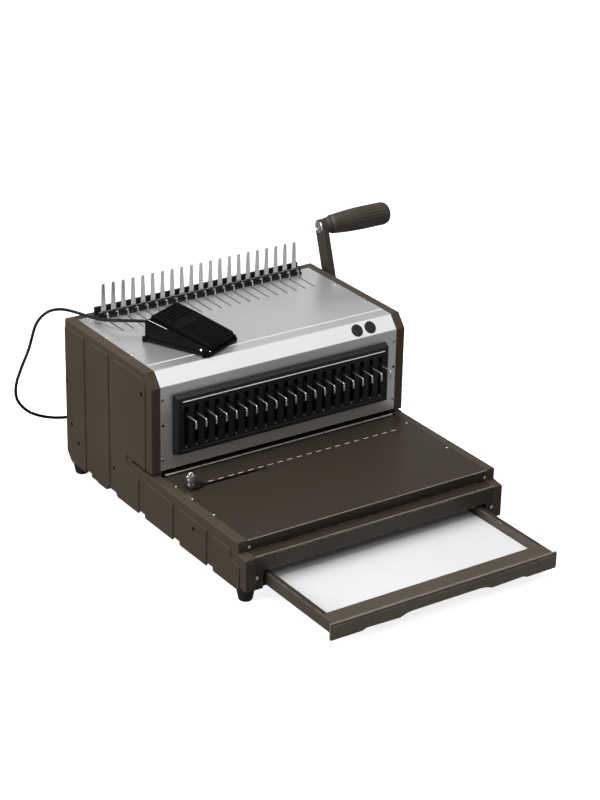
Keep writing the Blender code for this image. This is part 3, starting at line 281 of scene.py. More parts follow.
# finishes
def makeFinish(name, look):
    # colour drift, fine grain with bump, uneven gloss and paler edges, all on Object coordinates; the paler
    # edges stand partly for wear and partly for painted highlights
    made = bpy.data.materials.new(name)
    made.use_nodes = True
    nodes, links = made.node_tree.nodes, made.node_tree.links
    shader = nodes["Principled BSDF"]
    place = nodes.new("ShaderNodeTexCoord")
    stretch = nodes.new("ShaderNodeMapping")
    stretch.inputs["Scale"].default_value = look.get("stretch", (1, 1, 1))
    links.new(place.outputs["Object"], stretch.inputs["Vector"])

    def noise(scale, detail, vector):
        texture = nodes.new("ShaderNodeTexNoise")
        texture.inputs["Scale"].default_value = scale
        texture.inputs["Detail"].default_value = detail
        links.new(vector, texture.inputs["Vector"])
        return texture.outputs["Fac"]

    def spread(value, fromLow, fromHigh, toLow, toHigh):
        node = nodes.new("ShaderNodeMapRange")
        ends = {"From Min": fromLow, "From Max": fromHigh, "To Min": toLow, "To Max": toHigh}
        for socket, number in ends.items():
            node.inputs[socket].default_value = number
        links.new(value, node.inputs["Value"])
        return node.outputs["Result"]

    def blendColours(factor, first, second):
        node = nodes.new("ShaderNodeMix")
        node.data_type = "RGBA"
        links.new(factor, node.inputs["Factor"])
        for socket, colour in ((6, first), (7, second)):  # the mix node's two colour inputs
            if isinstance(colour, tuple):
                node.inputs[socket].default_value = (*colour, 1)
            else:
                links.new(colour, node.inputs[socket])
        return node.outputs[2]

    drift = noise(look.get("driftScale", 14), 3, place.outputs["Object"])
    grain = noise(look["grainScale"], look.get("grainDetail", 2), stretch.outputs["Vector"])
    colour = blendColours(spread(drift, 0.35, 0.65, 0, 1), look["colour"], look["shade"])
    colour = blendColours(spread(grain, 0.42, 0.72, 0, look.get("grainColour", 0.25)), colour, look["fleck"])
    # paler edges: partly wear, partly a painted highlight where an edge catches the light
    if look.get("wearAndHighlight"):
        rounded = nodes.new("ShaderNodeBevel")
        rounded.samples = 4
        rounded.inputs["Radius"].default_value = look.get("wearAndHighlightWidth", 0.0008)
        flat = nodes.new("ShaderNodeNewGeometry")
        product = nodes.new("ShaderNodeVectorMath")
        product.operation = "DOT_PRODUCT"
        links.new(rounded.outputs["Normal"], product.inputs[0])
        links.new(flat.outputs["Normal"], product.inputs[1])
        edge = spread(product.outputs["Value"], 0.99, 0.86, 0, 1)
        wearAndHighlightMask = nodes.new("ShaderNodeMath")
        wearAndHighlightMask.operation = "MULTIPLY"
        links.new(edge, wearAndHighlightMask.inputs[0])
        patches = noise(90, 3, place.outputs["Object"])
        links.new(spread(patches, 0.35, 0.7, 0, look["wearAndHighlight"]), wearAndHighlightMask.inputs[1])
        colour = blendColours(wearAndHighlightMask.outputs["Value"], colour, look["wearAndHighlightColour"])
    links.new(colour, shader.inputs["Base Color"])
    low, high = look["roughness"]
    gloss = grain if look.get("glossGrain") else drift
    links.new(spread(gloss, 0.3, 0.7, low, high), shader.inputs["Roughness"])
    bump = nodes.new("ShaderNodeBump")
    bump.inputs["Strength"].default_value = look.get("bump", 0.5)
    bump.inputs["Distance"].default_value = look["grainDepth"]
    links.new(grain, bump.inputs["Height"])
    links.new(bump.outputs["Normal"], shader.inputs["Normal"])
    shader.inputs["Metallic"].default_value = look.get("metallic", 0.0)
    shader.inputs["Specular IOR Level"].default_value = look.get("specular", 0.5)
    shader.inputs["Coat Weight"].default_value = look.get("coat", 0.0)
    shader.inputs["Coat Roughness"].default_value = 0.2
    shader.inputs["Anisotropic"].default_value = look.get("anisotropic", 0.0)
    return made


brownMoulding = makeFinish("brownMoulding", {
    "colour": (0.077, 0.059, 0.042), "shade": (0.069, 0.052, 0.036), "fleck": (0.092, 0.073, 0.054),
    "driftScale": 9, "grainScale": 1500, "grainDepth": 0.00012, "bump": 0.35, "roughness": (0.46, 0.56),
    "wearAndHighlight": 0.4, "wearAndHighlightColour": (0.16, 0.13, 0.098), "wearAndHighlightWidth": 0.0012, "specular": 0.15,
})
# its strong pale edges are painted highlights along the edges of its sheets
brownPaint = makeFinish("brownPaint", {
    "colour": (0.041, 0.031, 0.021), "shade": (0.036, 0.027, 0.018), "fleck": (0.055, 0.043, 0.031),
    "driftScale": 6, "grainScale": 1900, "grainDepth": 0.00008, "bump": 0.35, "roughness": (0.36, 0.46),
    "wearAndHighlight": 1.0, "wearAndHighlightColour": (0.32, 0.28, 0.23), "wearAndHighlightWidth": 0.0016, "specular": 0.25,
})
# its strong pale edges are painted highlights
drawerMoulding = makeFinish("drawerMoulding", {
    "colour": (0.088, 0.070, 0.051), "shade": (0.078, 0.062, 0.045), "fleck": (0.108, 0.088, 0.067),
    "driftScale": 12, "grainScale": 1300, "grainDepth": 0.00012, "bump": 0.4, "roughness": (0.42, 0.52),
    "wearAndHighlight": 1.0, "wearAndHighlightColour": (0.32, 0.28, 0.23), "wearAndHighlightWidth": 0.0014, "specular": 0.3,
})
# painted light: the drawer face is the tray's moulding made about twice as light, and its paler edges are
# painted highlights
paintedLightDrawerFace = makeFinish("paintedLightDrawerFace", {
    "colour": (0.165, 0.138, 0.106), "shade": (0.150, 0.125, 0.095), "fleck": (0.190, 0.160, 0.125),
    "driftScale": 12, "grainScale": 1300, "grainDepth": 0.00012, "bump": 0.4, "roughness": (0.42, 0.52),
    "wearAndHighlight": 0.8, "wearAndHighlightColour": (0.42, 0.38, 0.31), "wearAndHighlightWidth": 0.0009, "specular": 0.3,
})
# painted highlight: a pale colour for thin lines along lit edges
edgeHighlight = makeFinish("edgeHighlight", {
    "colour": (0.40, 0.36, 0.30), "shade": (0.26, 0.23, 0.19), "fleck": (0.50, 0.46, 0.39),
    "driftScale": 45, "grainScale": 1300, "grainDepth": 0.00005, "roughness": (0.3, 0.42),
})
silverPaint = makeFinish("silverPaint", {
    "colour": (0.82, 0.82, 0.82), "shade": (0.78, 0.78, 0.785), "fleck": (0.90, 0.90, 0.90),
    "driftScale": 5, "grainScale": 2600, "grainDepth": 0.00004, "grainColour": 0.5, "bump": 0.3,
    "roughness": (0.30, 0.38), "metallic": 0.8,
    "wearAndHighlight": 0.5, "wearAndHighlightColour": (0.75, 0.75, 0.75), "wearAndHighlightWidth": 0.0005,
})
blackMoulding = makeFinish("blackMoulding", {
    "colour": (0.014, 0.014, 0.014), "shade": (0.010, 0.010, 0.010), "fleck": (0.026, 0.026, 0.026),
    "driftScale": 20, "grainScale": 1200, "grainDepth": 0.0001, "bump": 0.4, "roughness": (0.34, 0.46),
    "wearAndHighlight": 0.5, "wearAndHighlightColour": (0.09, 0.09, 0.09), "wearAndHighlightWidth": 0.0005, "specular": 0.35,
})
# its paler edges are painted highlights along the pedal's edges
pedalPlastic = makeFinish("pedalPlastic", {
    "colour": (0.005, 0.005, 0.005), "shade": (0.003, 0.003, 0.003), "fleck": (0.010, 0.010, 0.010),
    "driftScale": 24, "grainScale": 1100, "grainDepth": 0.00015, "bump": 0.45, "roughness": (0.42, 0.55),
    "wearAndHighlight": 0.4, "wearAndHighlightColour": (0.08, 0.08, 0.08), "wearAndHighlightWidth": 0.0005, "specular": 0.06,
})
blackenedSteel = makeFinish("blackenedSteel", {
    "colour": (0.012, 0.012, 0.012), "shade": (0.008, 0.008, 0.008), "fleck": (0.03, 0.03, 0.03),
    "driftScale": 60, "grainScale": 900, "grainDepth": 0.00005, "roughness": (0.45, 0.6), "specular": 0.25,
})
paleStrip = makeFinish("paleStrip", {
    "colour": (0.78, 0.74, 0.65), "shade": (0.66, 0.62, 0.54), "fleck": (0.86, 0.83, 0.75),
    "driftScale": 50, "grainScale": 1200, "grainDepth": 0.00005, "roughness": (0.35, 0.5), "metallic": 0.25,
    "wearAndHighlight": 0.6, "wearAndHighlightColour": (0.6, 0.58, 0.52), "wearAndHighlightWidth": 0.0004,
})
# painted highlight: a near-white colour for thin lines along lit edges and joints
whiteHighlight = makeFinish("whiteHighlight", {
    "colour": (0.92, 0.92, 0.91), "shade": (0.86, 0.86, 0.86), "fleck": (0.96, 0.96, 0.96),
    "driftScale": 30, "grainScale": 1500, "grainDepth": 0.00002, "roughness": (0.25, 0.35), "metallic": 0.15,
})
wireChrome = makeFinish("wireChrome", {
    "colour": (0.78, 0.78, 0.78), "shade": (0.70, 0.70, 0.70), "fleck": (0.86, 0.86, 0.86),
    "driftScale": 90, "grainScale": 500, "grainDepth": 0.000005, "roughness": (0.2, 0.3), "metallic": 0.85,
})
brightSteel = makeFinish("brightSteel", {
    "colour": (0.66, 0.66, 0.65), "shade": (0.56, 0.56, 0.56), "fleck": (0.80, 0.80, 0.80),
    "driftScale": 40, "stretch": (1, 1, 0.05), "grainScale": 1600, "grainDepth": 0.00003, "bump": 0.35,
    "roughness": (0.16, 0.30), "glossGrain": True, "metallic": 1.0, "anisotropic": 0.3,
    "wearAndHighlight": 0.4, "wearAndHighlightColour": (0.9, 0.9, 0.9), "wearAndHighlightWidth": 0.0004,
})
tineSteel = makeFinish("tineSteel", {
    "colour": (0.86, 0.86, 0.86), "shade": (0.72, 0.72, 0.72), "fleck": (0.94, 0.94, 0.94),
    "driftScale": 26, "stretch": (1, 1, 0.04), "grainScale": 1500, "grainDepth": 0.00002, "bump": 0.3,
    "roughness": (0.22, 0.34), "glossGrain": True, "metallic": 0.75,
})
zincPlate = makeFinish("zincPlate", {
    "colour": (0.42, 0.42, 0.43), "shade": (0.33, 0.33, 0.34), "fleck": (0.55, 0.55, 0.55),
    "driftScale": 60, "grainScale": 700, "grainDepth": 0.00004, "grainDetail": 4, "roughness": (0.32, 0.52),
    "metallic": 0.9, "wearAndHighlight": 0.4, "wearAndHighlightColour": (0.6, 0.6, 0.6), "wearAndHighlightWidth": 0.0006,
})
chromePlate = makeFinish("chromePlate", {
    "colour": (0.80, 0.80, 0.80), "shade": (0.72, 0.72, 0.73), "fleck": (0.86, 0.86, 0.86),
    "driftScale": 120, "grainScale": 900, "grainDepth": 0.00001, "roughness": (0.07, 0.18), "metallic": 1.0,
})
blackRubber = makeFinish("blackRubber", {
    "colour": (0.012, 0.011, 0.010), "shade": (0.020, 0.018, 0.016), "fleck": (0.032, 0.030, 0.028),
    "driftScale": 60, "grainScale": 900, "grainDepth": 0.0002, "roughness": (0.62, 0.8), "specular": 0.3,
})
cordSheathing = makeFinish("cordSheathing", {
    "colour": (0.008, 0.008, 0.008), "shade": (0.012, 0.012, 0.012), "fleck": (0.02, 0.02, 0.02),
    "driftScale": 50, "grainScale": 1400, "grainDepth": 0.00008, "roughness": (0.40, 0.52), "specular": 0.18,
})
labelFilm = makeFinish("labelFilm", {
    "colour": (0.98, 0.98, 0.98), "shade": (0.97, 0.97, 0.97), "fleck": (0.99, 0.99, 0.99),
    "driftScale": 10, "grainScale": 2400, "grainDepth": 0.00002, "roughness": (0.25, 0.34), "coat": 0.3,
})
badgeInk = makeFinish("badgeInk", {
    "colour": (0.012, 0.012, 0.013), "shade": (0.016, 0.016, 0.017), "fleck": (0.03, 0.03, 0.03),
    "driftScale": 90, "grainScale": 2200, "grainDepth": 0.00002, "roughness": (0.3, 0.4),
})
rulerInk = makeFinish("rulerInk", {
    "colour": (0.74, 0.70, 0.63), "shade": (0.58, 0.55, 0.49), "fleck": (0.76, 0.73, 0.68),
    "driftScale": 200, "grainScale": 2500, "grainDepth": 0.00002, "roughness": (0.5, 0.6),
})
drawerPaper = makeFinish("drawerPaper", {
    "colour": (0.80, 0.80, 0.82), "shade": (0.76, 0.76, 0.78), "fleck": (0.88, 0.88, 0.89),
    "driftScale": 8, "grainScale": 1500, "grainDepth": 0.00006, "grainDetail": 5, "roughness": (0.55, 0.68),
})
gripMoulding = makeFinish("gripMoulding", {
    "colour": (0.058, 0.046, 0.034), "shade": (0.045, 0.036, 0.027), "fleck": (0.080, 0.066, 0.050),
    "driftScale": 30, "grainScale": 1200, "grainDepth": 0.0001, "roughness": (0.36, 0.48),
    "wearAndHighlight": 0.45, "wearAndHighlightColour": (0.17, 0.145, 0.11), "wearAndHighlightWidth": 0.0006,
})
leverPaint = makeFinish("leverPaint", {
    "colour": (0.048, 0.039, 0.029), "shade": (0.040, 0.032, 0.024), "fleck": (0.064, 0.053, 0.041),
    "driftScale": 22, "grainScale": 1700, "grainDepth": 0.00008, "roughness": (0.36, 0.46),
    "wearAndHighlight": 0.6, "wearAndHighlightColour": (0.22, 0.19, 0.15), "wearAndHighlightWidth": 0.0007,
})
# near black, for dark joints and for the painted shade in the side stop's slot
darkSeamAndShade = makeFinish("darkSeamAndShade", {
    "colour": (0.006, 0.006, 0.006), "shade": (0.010, 0.009, 0.008), "fleck": (0.014, 0.013, 0.012),
    "driftScale": 60, "grainScale": 900, "grainDepth": 0.0001, "roughness": (0.6, 0.8), "specular": 0.2,
})
print("finishes mixed:", len(bpy.data.materials))


# pedal cord
pedalCord = {
    "radius": 0.002,
    "steps": 3,
    "route": (
        (-0.10895, 0.11250, 0.20080), (-0.11180, 0.11860, 0.20150), (-0.11750, 0.12600, 0.20280),
        (-0.12900, 0.13400, 0.20350), (-0.14200, 0.14350, 0.20320), (-0.15100, 0.15700, 0.20060),
        (-0.15700, 0.17400, 0.19720), (-0.16300, 0.19400, 0.19560), (-0.17100, 0.21300, 0.19620),
        (-0.18300, 0.22500, 0.19830), (-0.19760, 0.22900, 0.19800), (-0.21060, 0.22900, 0.19240),
        (-0.21970, 0.22800, 0.18250), (-0.22500, 0.22800, 0.16750), (-0.23050, 0.22800, 0.15150),
        (-0.24100, 0.22800, 0.13000), (-0.24900, 0.22800, 0.10900), (-0.24800, 0.22900, 0.08820),
        (-0.23450, 0.23000, 0.06930), (-0.21600, 0.23300, 0.05650), (-0.19400, 0.23700, 0.04650),
        (-0.17000, 0.24300, 0.03900), (-0.14900, 0.24850, 0.03600), (-0.13000, 0.25250, 0.03650),
        (-0.11650, 0.24850, 0.03980), (-0.11080, 0.23750, 0.04350), (-0.11000, 0.22550, 0.04500),
    ),
    "blendStart": (-0.15700, 0.17400, 0.19720),
}
cordLine = smoothLine(pedalCord["route"], pedalCord["steps"])
cord = shapedObject("cord_sheath", tube(cordLine, pedalCord["radius"], 12), cordSheathing, 50)
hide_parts("pedal_cord")
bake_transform(cord)

# the pedal's strain relief, a tapered sleeve on the cord's first stretch
sleeveTurn = (cordLine[3] - cordLine[0]).normalized().to_track_quat("Z", "Y").to_matrix().to_4x4()
sleeveProfile = [(0.0, -0.002), (0.0040, -0.002), (0.0040, 0.0)]
for ring in range(4):
    base = 0.0012 + ring * 0.0026
    sleeveProfile += [(0.0036 - ring * 0.0003, base), (0.0036 - ring * 0.0003, base + 0.0012),
                      (0.0029 - ring * 0.0001, base + 0.0015), (0.0029 - ring * 0.0001, base + 0.0023)]
sleeveProfile += [(0.0024, 0.0125), (0.0, 0.0125)]
sleeve = turnedSolid(sleeveProfile, (0, 0, 0), 2, 20)
bmesh.ops.transform(sleeve, matrix=Matrix.Translation(cordLine[0]) @ sleeveTurn, verts=sleeve.verts[:])
cordSleeve = piece("cord_sleeve", sleeve, "pedal", blackRubber)
dressNode("cord_socket", blackRubber, 0)

# moulded side covers
sideCover = {
    "groundDepth": 0.0016,       # how far the grooves and the rim lie below the panels
    "panelSink": 0.0008,
    "panelSlope": 0.0013,
    "bottom": -0.003,
    "wall": 0.003,
    "screwRadius": 0.0032,
    "screwDepth": 0.0042,
    "screws": ((0.2076, 0.1072), (0.197, 0.0514), (0.1796, 0.0311), (0.0913, 0.0329),
               (0.0202, 0.1611), (-0.0988, 0.0333)),
    "leverHole": 0.0068,
}
slitTop, slitLow, slitDepth = 0.062, tableTop + 0.0011, 0.047
panelTop = headTop - 0.0085
low = sideCover["bottom"]
headChamfer = (0.0141, headTop - 0.0171)
coverOutline = [
    (rearY, 0.012), (rearY, headTop), (headChamfer[0], headTop), (0.0, headChamfer[1]),
    (0.0, slitTop), (slitDepth, slitTop), (slitDepth, slitLow), (0.0, slitLow), (-0.0011, tableTop),
    (apronY, tableTop), (apronY, shelfTop), (frontY, shelfTop - 0.0024), (frontY, 0.0), (rearY - 0.010, 0.0),
]
coverPanels = {
    "rear": [(0.2115, 0.010), (0.2115, panelTop), (0.1625, panelTop), (0.1625, low), (0.201, low)],
    "second": [(0.148, low), (0.148, panelTop), (0.1018, panelTop), (0.1018, 0.005), (0.108, low)],
    "third": [(0.0878, 0.005), (0.0878, panelTop), (0.0195, panelTop), (0.013, 0.1735), (0.013, 0.0635),
              (0.0555, 0.0665), (0.0605, 0.0615), (0.0575, 0.0545), (0.0490, 0.0500), (0.0365, 0.0475),
              (0.0300, 0.0420), (0.0300, low), (0.083, low)],
    "fourth": [(0.0155, low), (0.0155, 0.0486), (-0.0508, 0.0450), (-0.0508, low)],
    "fifth": [(-0.066, low), (-0.066, 0.0462), (-0.1273, 0.0450), (-0.1273, low)],
    "front": [(-0.141, low), (-0.141, 0.0448), (-0.179, 0.0430), (-0.1805, 0.0318), (-0.1985, 0.0285),
              (-0.1985, low)],
}


def mouldedCover(name, side, look, node):
    outside = side * halfWidth
    ground = side * (halfWidth - sideCover["groundDepth"])
    inside = side * coverInner
    shell = outlineSolid(coverOutline, 0, inside, ground)
    softened(shell, 0.0022, 3, 40, lambda edge: all(abs(v.co.x - ground) < 1e-5 for v in edge.verts))
    wall = sideCover["wall"]
    mouth, deep = side * (coverInner - 0.002), side * (halfWidth - wall - sideCover["groundDepth"])
    headPocket = [
        (rearY - wall, slitTop + wall), (rearY - wall, headTop - wall),
        (headChamfer[0] + wall / 2, headTop - wall), (wall, headChamfer[1] - wall / 2),
        (wall, slitTop + wall),
    ]
    lowPocket = [
        (rearY - wall - 0.012, wall), (rearY - wall, wall + 0.012), (rearY - wall, tableTop - wall),
        (apronY + wall, tableTop - wall), (apronY + wall, shelfTop - 2 * wall),
        (frontY + wall, shelfTop - 2 * wall), (frontY + wall, wall),
    ]
    panels = []
    for outline in coverPanels.values():
        panel = outlineSolid(outline, 0, ground - side * sideCover["panelSink"], outside, 0.0025, 3)
        softened(panel, sideCover["panelSlope"], 3, 60,
                 lambda edge: all(abs(v.co.x - outside) < 1e-5 for v in edge.verts))
        panels.append(panel)
    shell = combined(shell, panels, "UNION")
    cuts = [outlineSolid(headPocket, 0, mouth, deep), outlineSolid(lowPocket, 0, mouth, deep)]
    radius, depth = sideCover["screwRadius"], sideCover["screwDepth"]
    screwPit = [(0, 0), (radius, 0), (radius, side * (depth + 0.002)), (0, side * (depth + 0.002))]
    for y, z in sideCover["screws"]:
        cuts.append(turnedSolid(screwPit, (side * (halfWidth - depth), y, z), 0, 20))
    if side > 0:
        reach = sideCover["leverHole"]
        cuts.append(turnedSolid([(0, -0.008), (reach, -0.008), (reach, 0.008), (0, 0.008)],
                                (outside, *leverPivot), 0, 28))
    shell = combined(shell, cuts, "DIFFERENCE")
    return piece(name, shell, "casing", look, [node], 28)


shaftLow, shaftHigh = casingBox("lever_shaft")
leverPivot = ((shaftLow.y + shaftHigh.y) / 2, (shaftLow.z + shaftHigh.z) / 2)
mouldedCover("moulded_cover_left", -1, brownMoulding, "left_side_cover")
mouldedCover("moulded_cover_right", 1, brownMoulding, "right_side_cover")
print("side covers moulded")

# screws: one lathe shape with a crossed slot, used at every place
screwShape = {"slot": 0.0007, "slotDepth": 0.0006}


def screwHead(place, axis, direction, radius, rise):
    # a low dome with a crossed recess, facing along +-axis
    profile = [(0, -0.0008), (radius, -0.0008), (radius, rise * 0.35), (radius * 0.86, rise * 0.75),
               (radius * 0.5, rise), (0, rise)]
    head = turnedSolid([(r, direction * h) for r, h in profile], (0, 0, 0), axis, 18)
    slot, depth = screwShape["slot"] / 2, screwShape["slotDepth"]
    blades = []
    for turn in (0, 1):
        size = [0, 0, 0]
        across = [index for index in range(3) if index != axis]
        size[across[turn]], size[across[1 - turn]] = radius * 0.62, slot
        size[axis] = depth
        centre = [0, 0, 0]
        centre[axis] = direction * rise
        blades.append(block([c - s for c, s in zip(centre, size)], [c + s for c, s in zip(centre, size)]))
    cross = combined(blades[0], [blades[1]], "UNION")
    head = combined(head, [cross], "DIFFERENCE")
    bmesh.ops.translate(head, vec=place, verts=head.verts[:])
    return head


coverScrews = []
for side in (-1, 1):
    for y, z in sideCover["screws"]:
        seat = side * (halfWidth - sideCover["screwDepth"] + 0.0006)
        coverScrews.append(screwHead((seat, y, z), 0, side, 0.0022, 0.0008))
piece("cover_screws", joined(*coverScrews), "casing", darkSeamAndShade)

sheetScrews = []
for x, y in ((-0.1704, 0.1332), (-0.1705, 0.0718), (0.1704, 0.1332), (0.1705, 0.0640)):
    sheetScrews.append(screwHead((x, y, headTop), 2, 1, 0.0027, 0.0006))
for x, z in ((-0.1706, 0.1579), (-0.1710, 0.0785), (0.1697, 0.159), (0.1712, 0.0792)):
    sheetScrews.append(screwHead((x, 0, z), 1, -1, 0.0027, 0.0006))
for x, y in ((-0.172, -0.033), (-0.172, -0.071), (-0.172, -0.119), (0.171, -0.032), (0.171, -0.117)):
    sheetScrews.append(screwHead((x, y, tableTop), 2, 1, 0.0018, 0.0005))
for x in (-0.171, 0.171):
    sheetScrews.append(screwHead((x, apronY, 0.0475), 1, -1, 0.0022, 0.0008))
    sheetScrews.append(screwHead((x * 0.997, frontY, 0.015), 1, -1, 0.0022, 0.0008))
piece("sheet_screws", joined(*sheetScrews), "casing", wireChrome)
dots = [turnedSolid([(0, -0.0004), (0.0016, -0.0004), (0.0016, 0.0003), (0.0012, 0.0006), (0, 0.0006)],
                    (x, -0.0002, 0.1235), 1, 14) for x in (-0.1701, 0.1701)]
piece("fascia_dots", joined(*dots), "casing", darkSeamAndShade)
print("screws turned")

# sheets and inner parts that keep their CAD shape
for node, look, edge in (
    ("front_fascia", silverPaint, 0.0006), ("top_plate", silverPaint, 0.0003),
    ("paper_table", brownPaint, 0.0009), ("front_cover", brownPaint, 0.0007),
    ("rear_cover", brownPaint, 0.0005), ("base_pan", zincPlate, 0.0004),
    ("left_frame_plate", zincPlate, 0.0003), ("right_frame_plate", zincPlate, 0.0003),
    ("comb_rail", blackMoulding, 0.0004),
    ("die_plate", blackenedSteel, 0.0002), ("pin_guide", zincPlate, 0.0002),
    ("gear_motor", zincPlate, 0.0005),
    ("punch_bar", blackenedSteel, 0.0004), ("die_pins", blackenedSteel, 0), ("cam_shaft", brightSteel, 0),
    ("lever_shaft", brightSteel, 0), ("hook_carriage", brightSteel, 0.0001),
    ("lever_arm", leverPaint, 0.0012), ("grip_bolt", brightSteel, 0),
    ("drawer_tray", drawerMoulding, 0.0007), ("power_inlet", blackMoulding, 0.0004),
    ("power_switch", blackMoulding, 0.0004),
    ("foot_front_left", blackRubber, 0), ("foot_front_right", blackRubber, 0),
    ("foot_rear_left", blackRubber, 0), ("foot_rear_right", blackRubber, 0),
):
    dressNode(node, look, edge)
print("sheets dressed")

# each pin selector is a thin wire with its tip bent down
selectorWire = {
    "radius": 0.00085, "start": 0.016, "tipDrop": 0.0084,
    "tipWide": 0.00115, "tipThin": 0.0007,  # halves of the finger tab's width and thickness
    "shadeSleeveHalf": 0.0021, "shadeSleeveFront": -0.0145, "shadeSleeveBelow": 0.0034, "shadeSleeveAbove": 0.0022,
}
for index in range(ringCount):
    node = f"selector_{index + 1:02d}"
    wireLow, wireHigh = casingBox(node)
    x, y, z = (wireLow.x + wireHigh.x) / 2, wireLow.y + 0.0013, wireHigh.z - 0.0011
    bend = [(x, selectorWire["start"], z), (x, y + 0.0016, z), (x, y + 0.0005, z - 0.0004),
            (x, y, z - 0.0014), (x, y, z - selectorWire["tipDrop"])]
    shaft = tube(bend, selectorWire["radius"], 10)
    wide, thin = selectorWire["tipWide"], selectorWire["tipThin"]
    tip = softened(block((x - wide, y - thin, wireLow.z), (x + wide, y + thin, z - 0.0022)), 0.0004, 2)
    piece(f"selector_wire_{index + 1:02d}", joined(shaft, tip), node, wireChrome, [node], 50)
    # painted shade: a dark sleeve round each wire, from inside the casing to a little way out of its slot
    shadeSleeveHalf, shadeSleeveBack = selectorWire["shadeSleeveHalf"], selectorWire["start"] - 0.001
    sleeve = block((x - shadeSleeveHalf, selectorWire["shadeSleeveFront"], z - selectorWire["shadeSleeveBelow"]),
                   (x + shadeSleeveHalf, shadeSleeveBack, z + selectorWire["shadeSleeveAbove"]))
    softened(sleeve, 0.0008, 2)
    piece(f"selector_sleeve_{index + 1:02d}", sleeve, node, blackenedSteel)
print("selectors bent")

# the punch bar's return spring, a coil of fixed shape; the real spring closes up as the bar comes down
returnCoil = {"coil": 0.0067, "wire": 0.0010, "turns": 7, "steps": 18, "keep": 0.635}
springLow, springHigh = casingBox("return_spring")
coilX, coilY = (springLow.x + springHigh.x) / 2, (springLow.y + springHigh.y) / 2
coilStart, coilEnd = springLow.z + returnCoil["wire"], springHigh.z - returnCoil["wire"] - 0.0001
coilSteps = returnCoil["turns"] * returnCoil["steps"]
coilLine = []
for step in range(coilSteps + 1):
    turn = 2 * math.pi * step / returnCoil["steps"]
    coilLine.append((coilX + returnCoil["coil"] * math.cos(turn), coilY + returnCoil["coil"] * math.sin(turn),
                     coilStart + (coilEnd - coilStart) * step / coilSteps))
coil = piece("return_coil", tube(coilLine, returnCoil["wire"], 10), "casing", brightSteel,
             ["return_spring"], 60)
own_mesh(coil)
print("spring coiled")

# label film on the sloping edge of the head, with two blank badges
labelFit = {"thick": 0.00025, "margin": 0.0006, "badges": (0.1166, 0.1366), "badgeRadius": 0.0082}
slopeStart, slopeEnd = Vector((0, 0.0, headChamfer[1])), Vector((0, headChamfer[0], headTop))
slopeAlong = (slopeEnd - slopeStart).normalized()
slopeOut = Vector((0, -slopeAlong.z, slopeAlong.y))
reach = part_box("front_fascia")[1].x - origin.x - 0.0008
filmStart = slopeStart + slopeAlong * labelFit["margin"] + slopeOut * labelFit["thick"]
filmEnd = slopeEnd - slopeAlong * labelFit["margin"] + slopeOut * labelFit["thick"]
drop = 2 * labelFit["thick"]
filmOutline = [(filmStart.y, filmStart.z), (filmEnd.y, filmEnd.z),
               (filmEnd.y - drop * slopeOut.y, filmEnd.z - drop * slopeOut.z),
               (filmStart.y - drop * slopeOut.y, filmStart.z - drop * slopeOut.z)]
film = outlineSolid(filmOutline, 0, -reach, reach)
piece("label_film", softened(film, 0.0001, 1), "casing", labelFilm)
badges = []
for x in labelFit["badges"]:
    middle = (slopeStart + slopeEnd) / 2
    badge = turnedSolid([(0, 0), (labelFit["badgeRadius"], 0), (labelFit["badgeRadius"], 0.00035),
                         (labelFit["badgeRadius"] - 0.0002, 0.00045), (0, 0.00045)], (0, 0, 0), 2, 40)
    turn = slopeOut.to_track_quat("Z", "Y").to_matrix().to_4x4()
    place = Vector((x, middle.y, middle.z)) + slopeOut * labelFit["thick"] * 0.4
    bmesh.ops.transform(badge, matrix=Matrix.Translation(place) @ turn, verts=badge.verts[:])
    badges.append(badge)
piece("label_badges", joined(*badges), "casing", badgeInk)

# painted highlight: a near-white line where the top plate meets the fascia
fasciaBack = casingBox("front_fascia")[1].y
jointHighlightSize = {"before": 0.0007, "behind": 0.0014, "half": 0.0003}
jointHighlight = block((-reach, fasciaBack - jointHighlightSize["before"], headTop - jointHighlightSize["half"]),
                  (reach, fasciaBack + jointHighlightSize["behind"], headTop + jointHighlightSize["half"]))
piece("joint_bead", softened(jointHighlight, 0.0002, 2), "casing", whiteHighlight)
print("label and joint laid")

# slotted cover of the pin selectors
tabLow, tabHigh = casingBox("tab_cover")
tabCover = {"draft": 0.0025, "wall": 0.0025, "frame": 0.0042, "step": 0.0009, "slotShown": 0.0062,
            "slotLow": 0.0958, "slotHigh": 0.1467}
shell = block(tabLow, tabHigh)
tabMiddle = (tabLow.z + tabHigh.z) / 2
front = [v for v in shell.verts if v.co.y < (tabLow.y + tabHigh.y) / 2]
for v in front:
    v.co.x -= math.copysign(tabCover["draft"], v.co.x)
    v.co.z -= math.copysign(tabCover["draft"], v.co.z - tabMiddle)
face = next(f for f in shell.faces if all(v in front for v in f.verts))
bmesh.ops.inset_region(shell, faces=[face], thickness=tabCover["frame"], use_even_offset=True)
bmesh.ops.inset_region(shell, faces=[face], thickness=0.0009, use_even_offset=True)
bmesh.ops.translate(shell, vec=(0, tabCover["step"], 0), verts=face.verts)
softened(shell, 0.0008, 3, 20)
pocketInset = tabCover["wall"] + tabCover["draft"]
cuts = [block((tabLow.x + pocketInset, tabLow.y + tabCover["wall"] + 0.0005, tabLow.z + pocketInset),
              (tabHigh.x - pocketInset, 0.002, tabHigh.z - pocketInset))]
shell = combined(shell, cuts, "DIFFERENCE")
slots = []
for x in ringPlaces:
    half = tabCover["slotShown"] / 2
    slots.append(outlineSolid([(x - half, tabCover["slotLow"]), (x - half, tabCover["slotHigh"]),
                               (x + half, tabCover["slotHigh"]), (x + half, tabCover["slotLow"])],
                              1, tabLow.y - 0.002, tabLow.y + 0.006, 0.0012, 3))
shell = combined(shell, slots, "DIFFERENCE")
piece("selector_cover", shell, "casing", blackMoulding, ["tab_cover"], 25)
beadProfile = [(0, 0), (0.0011, 0), (0.0009, 0.0005), (0, 0.0007)]
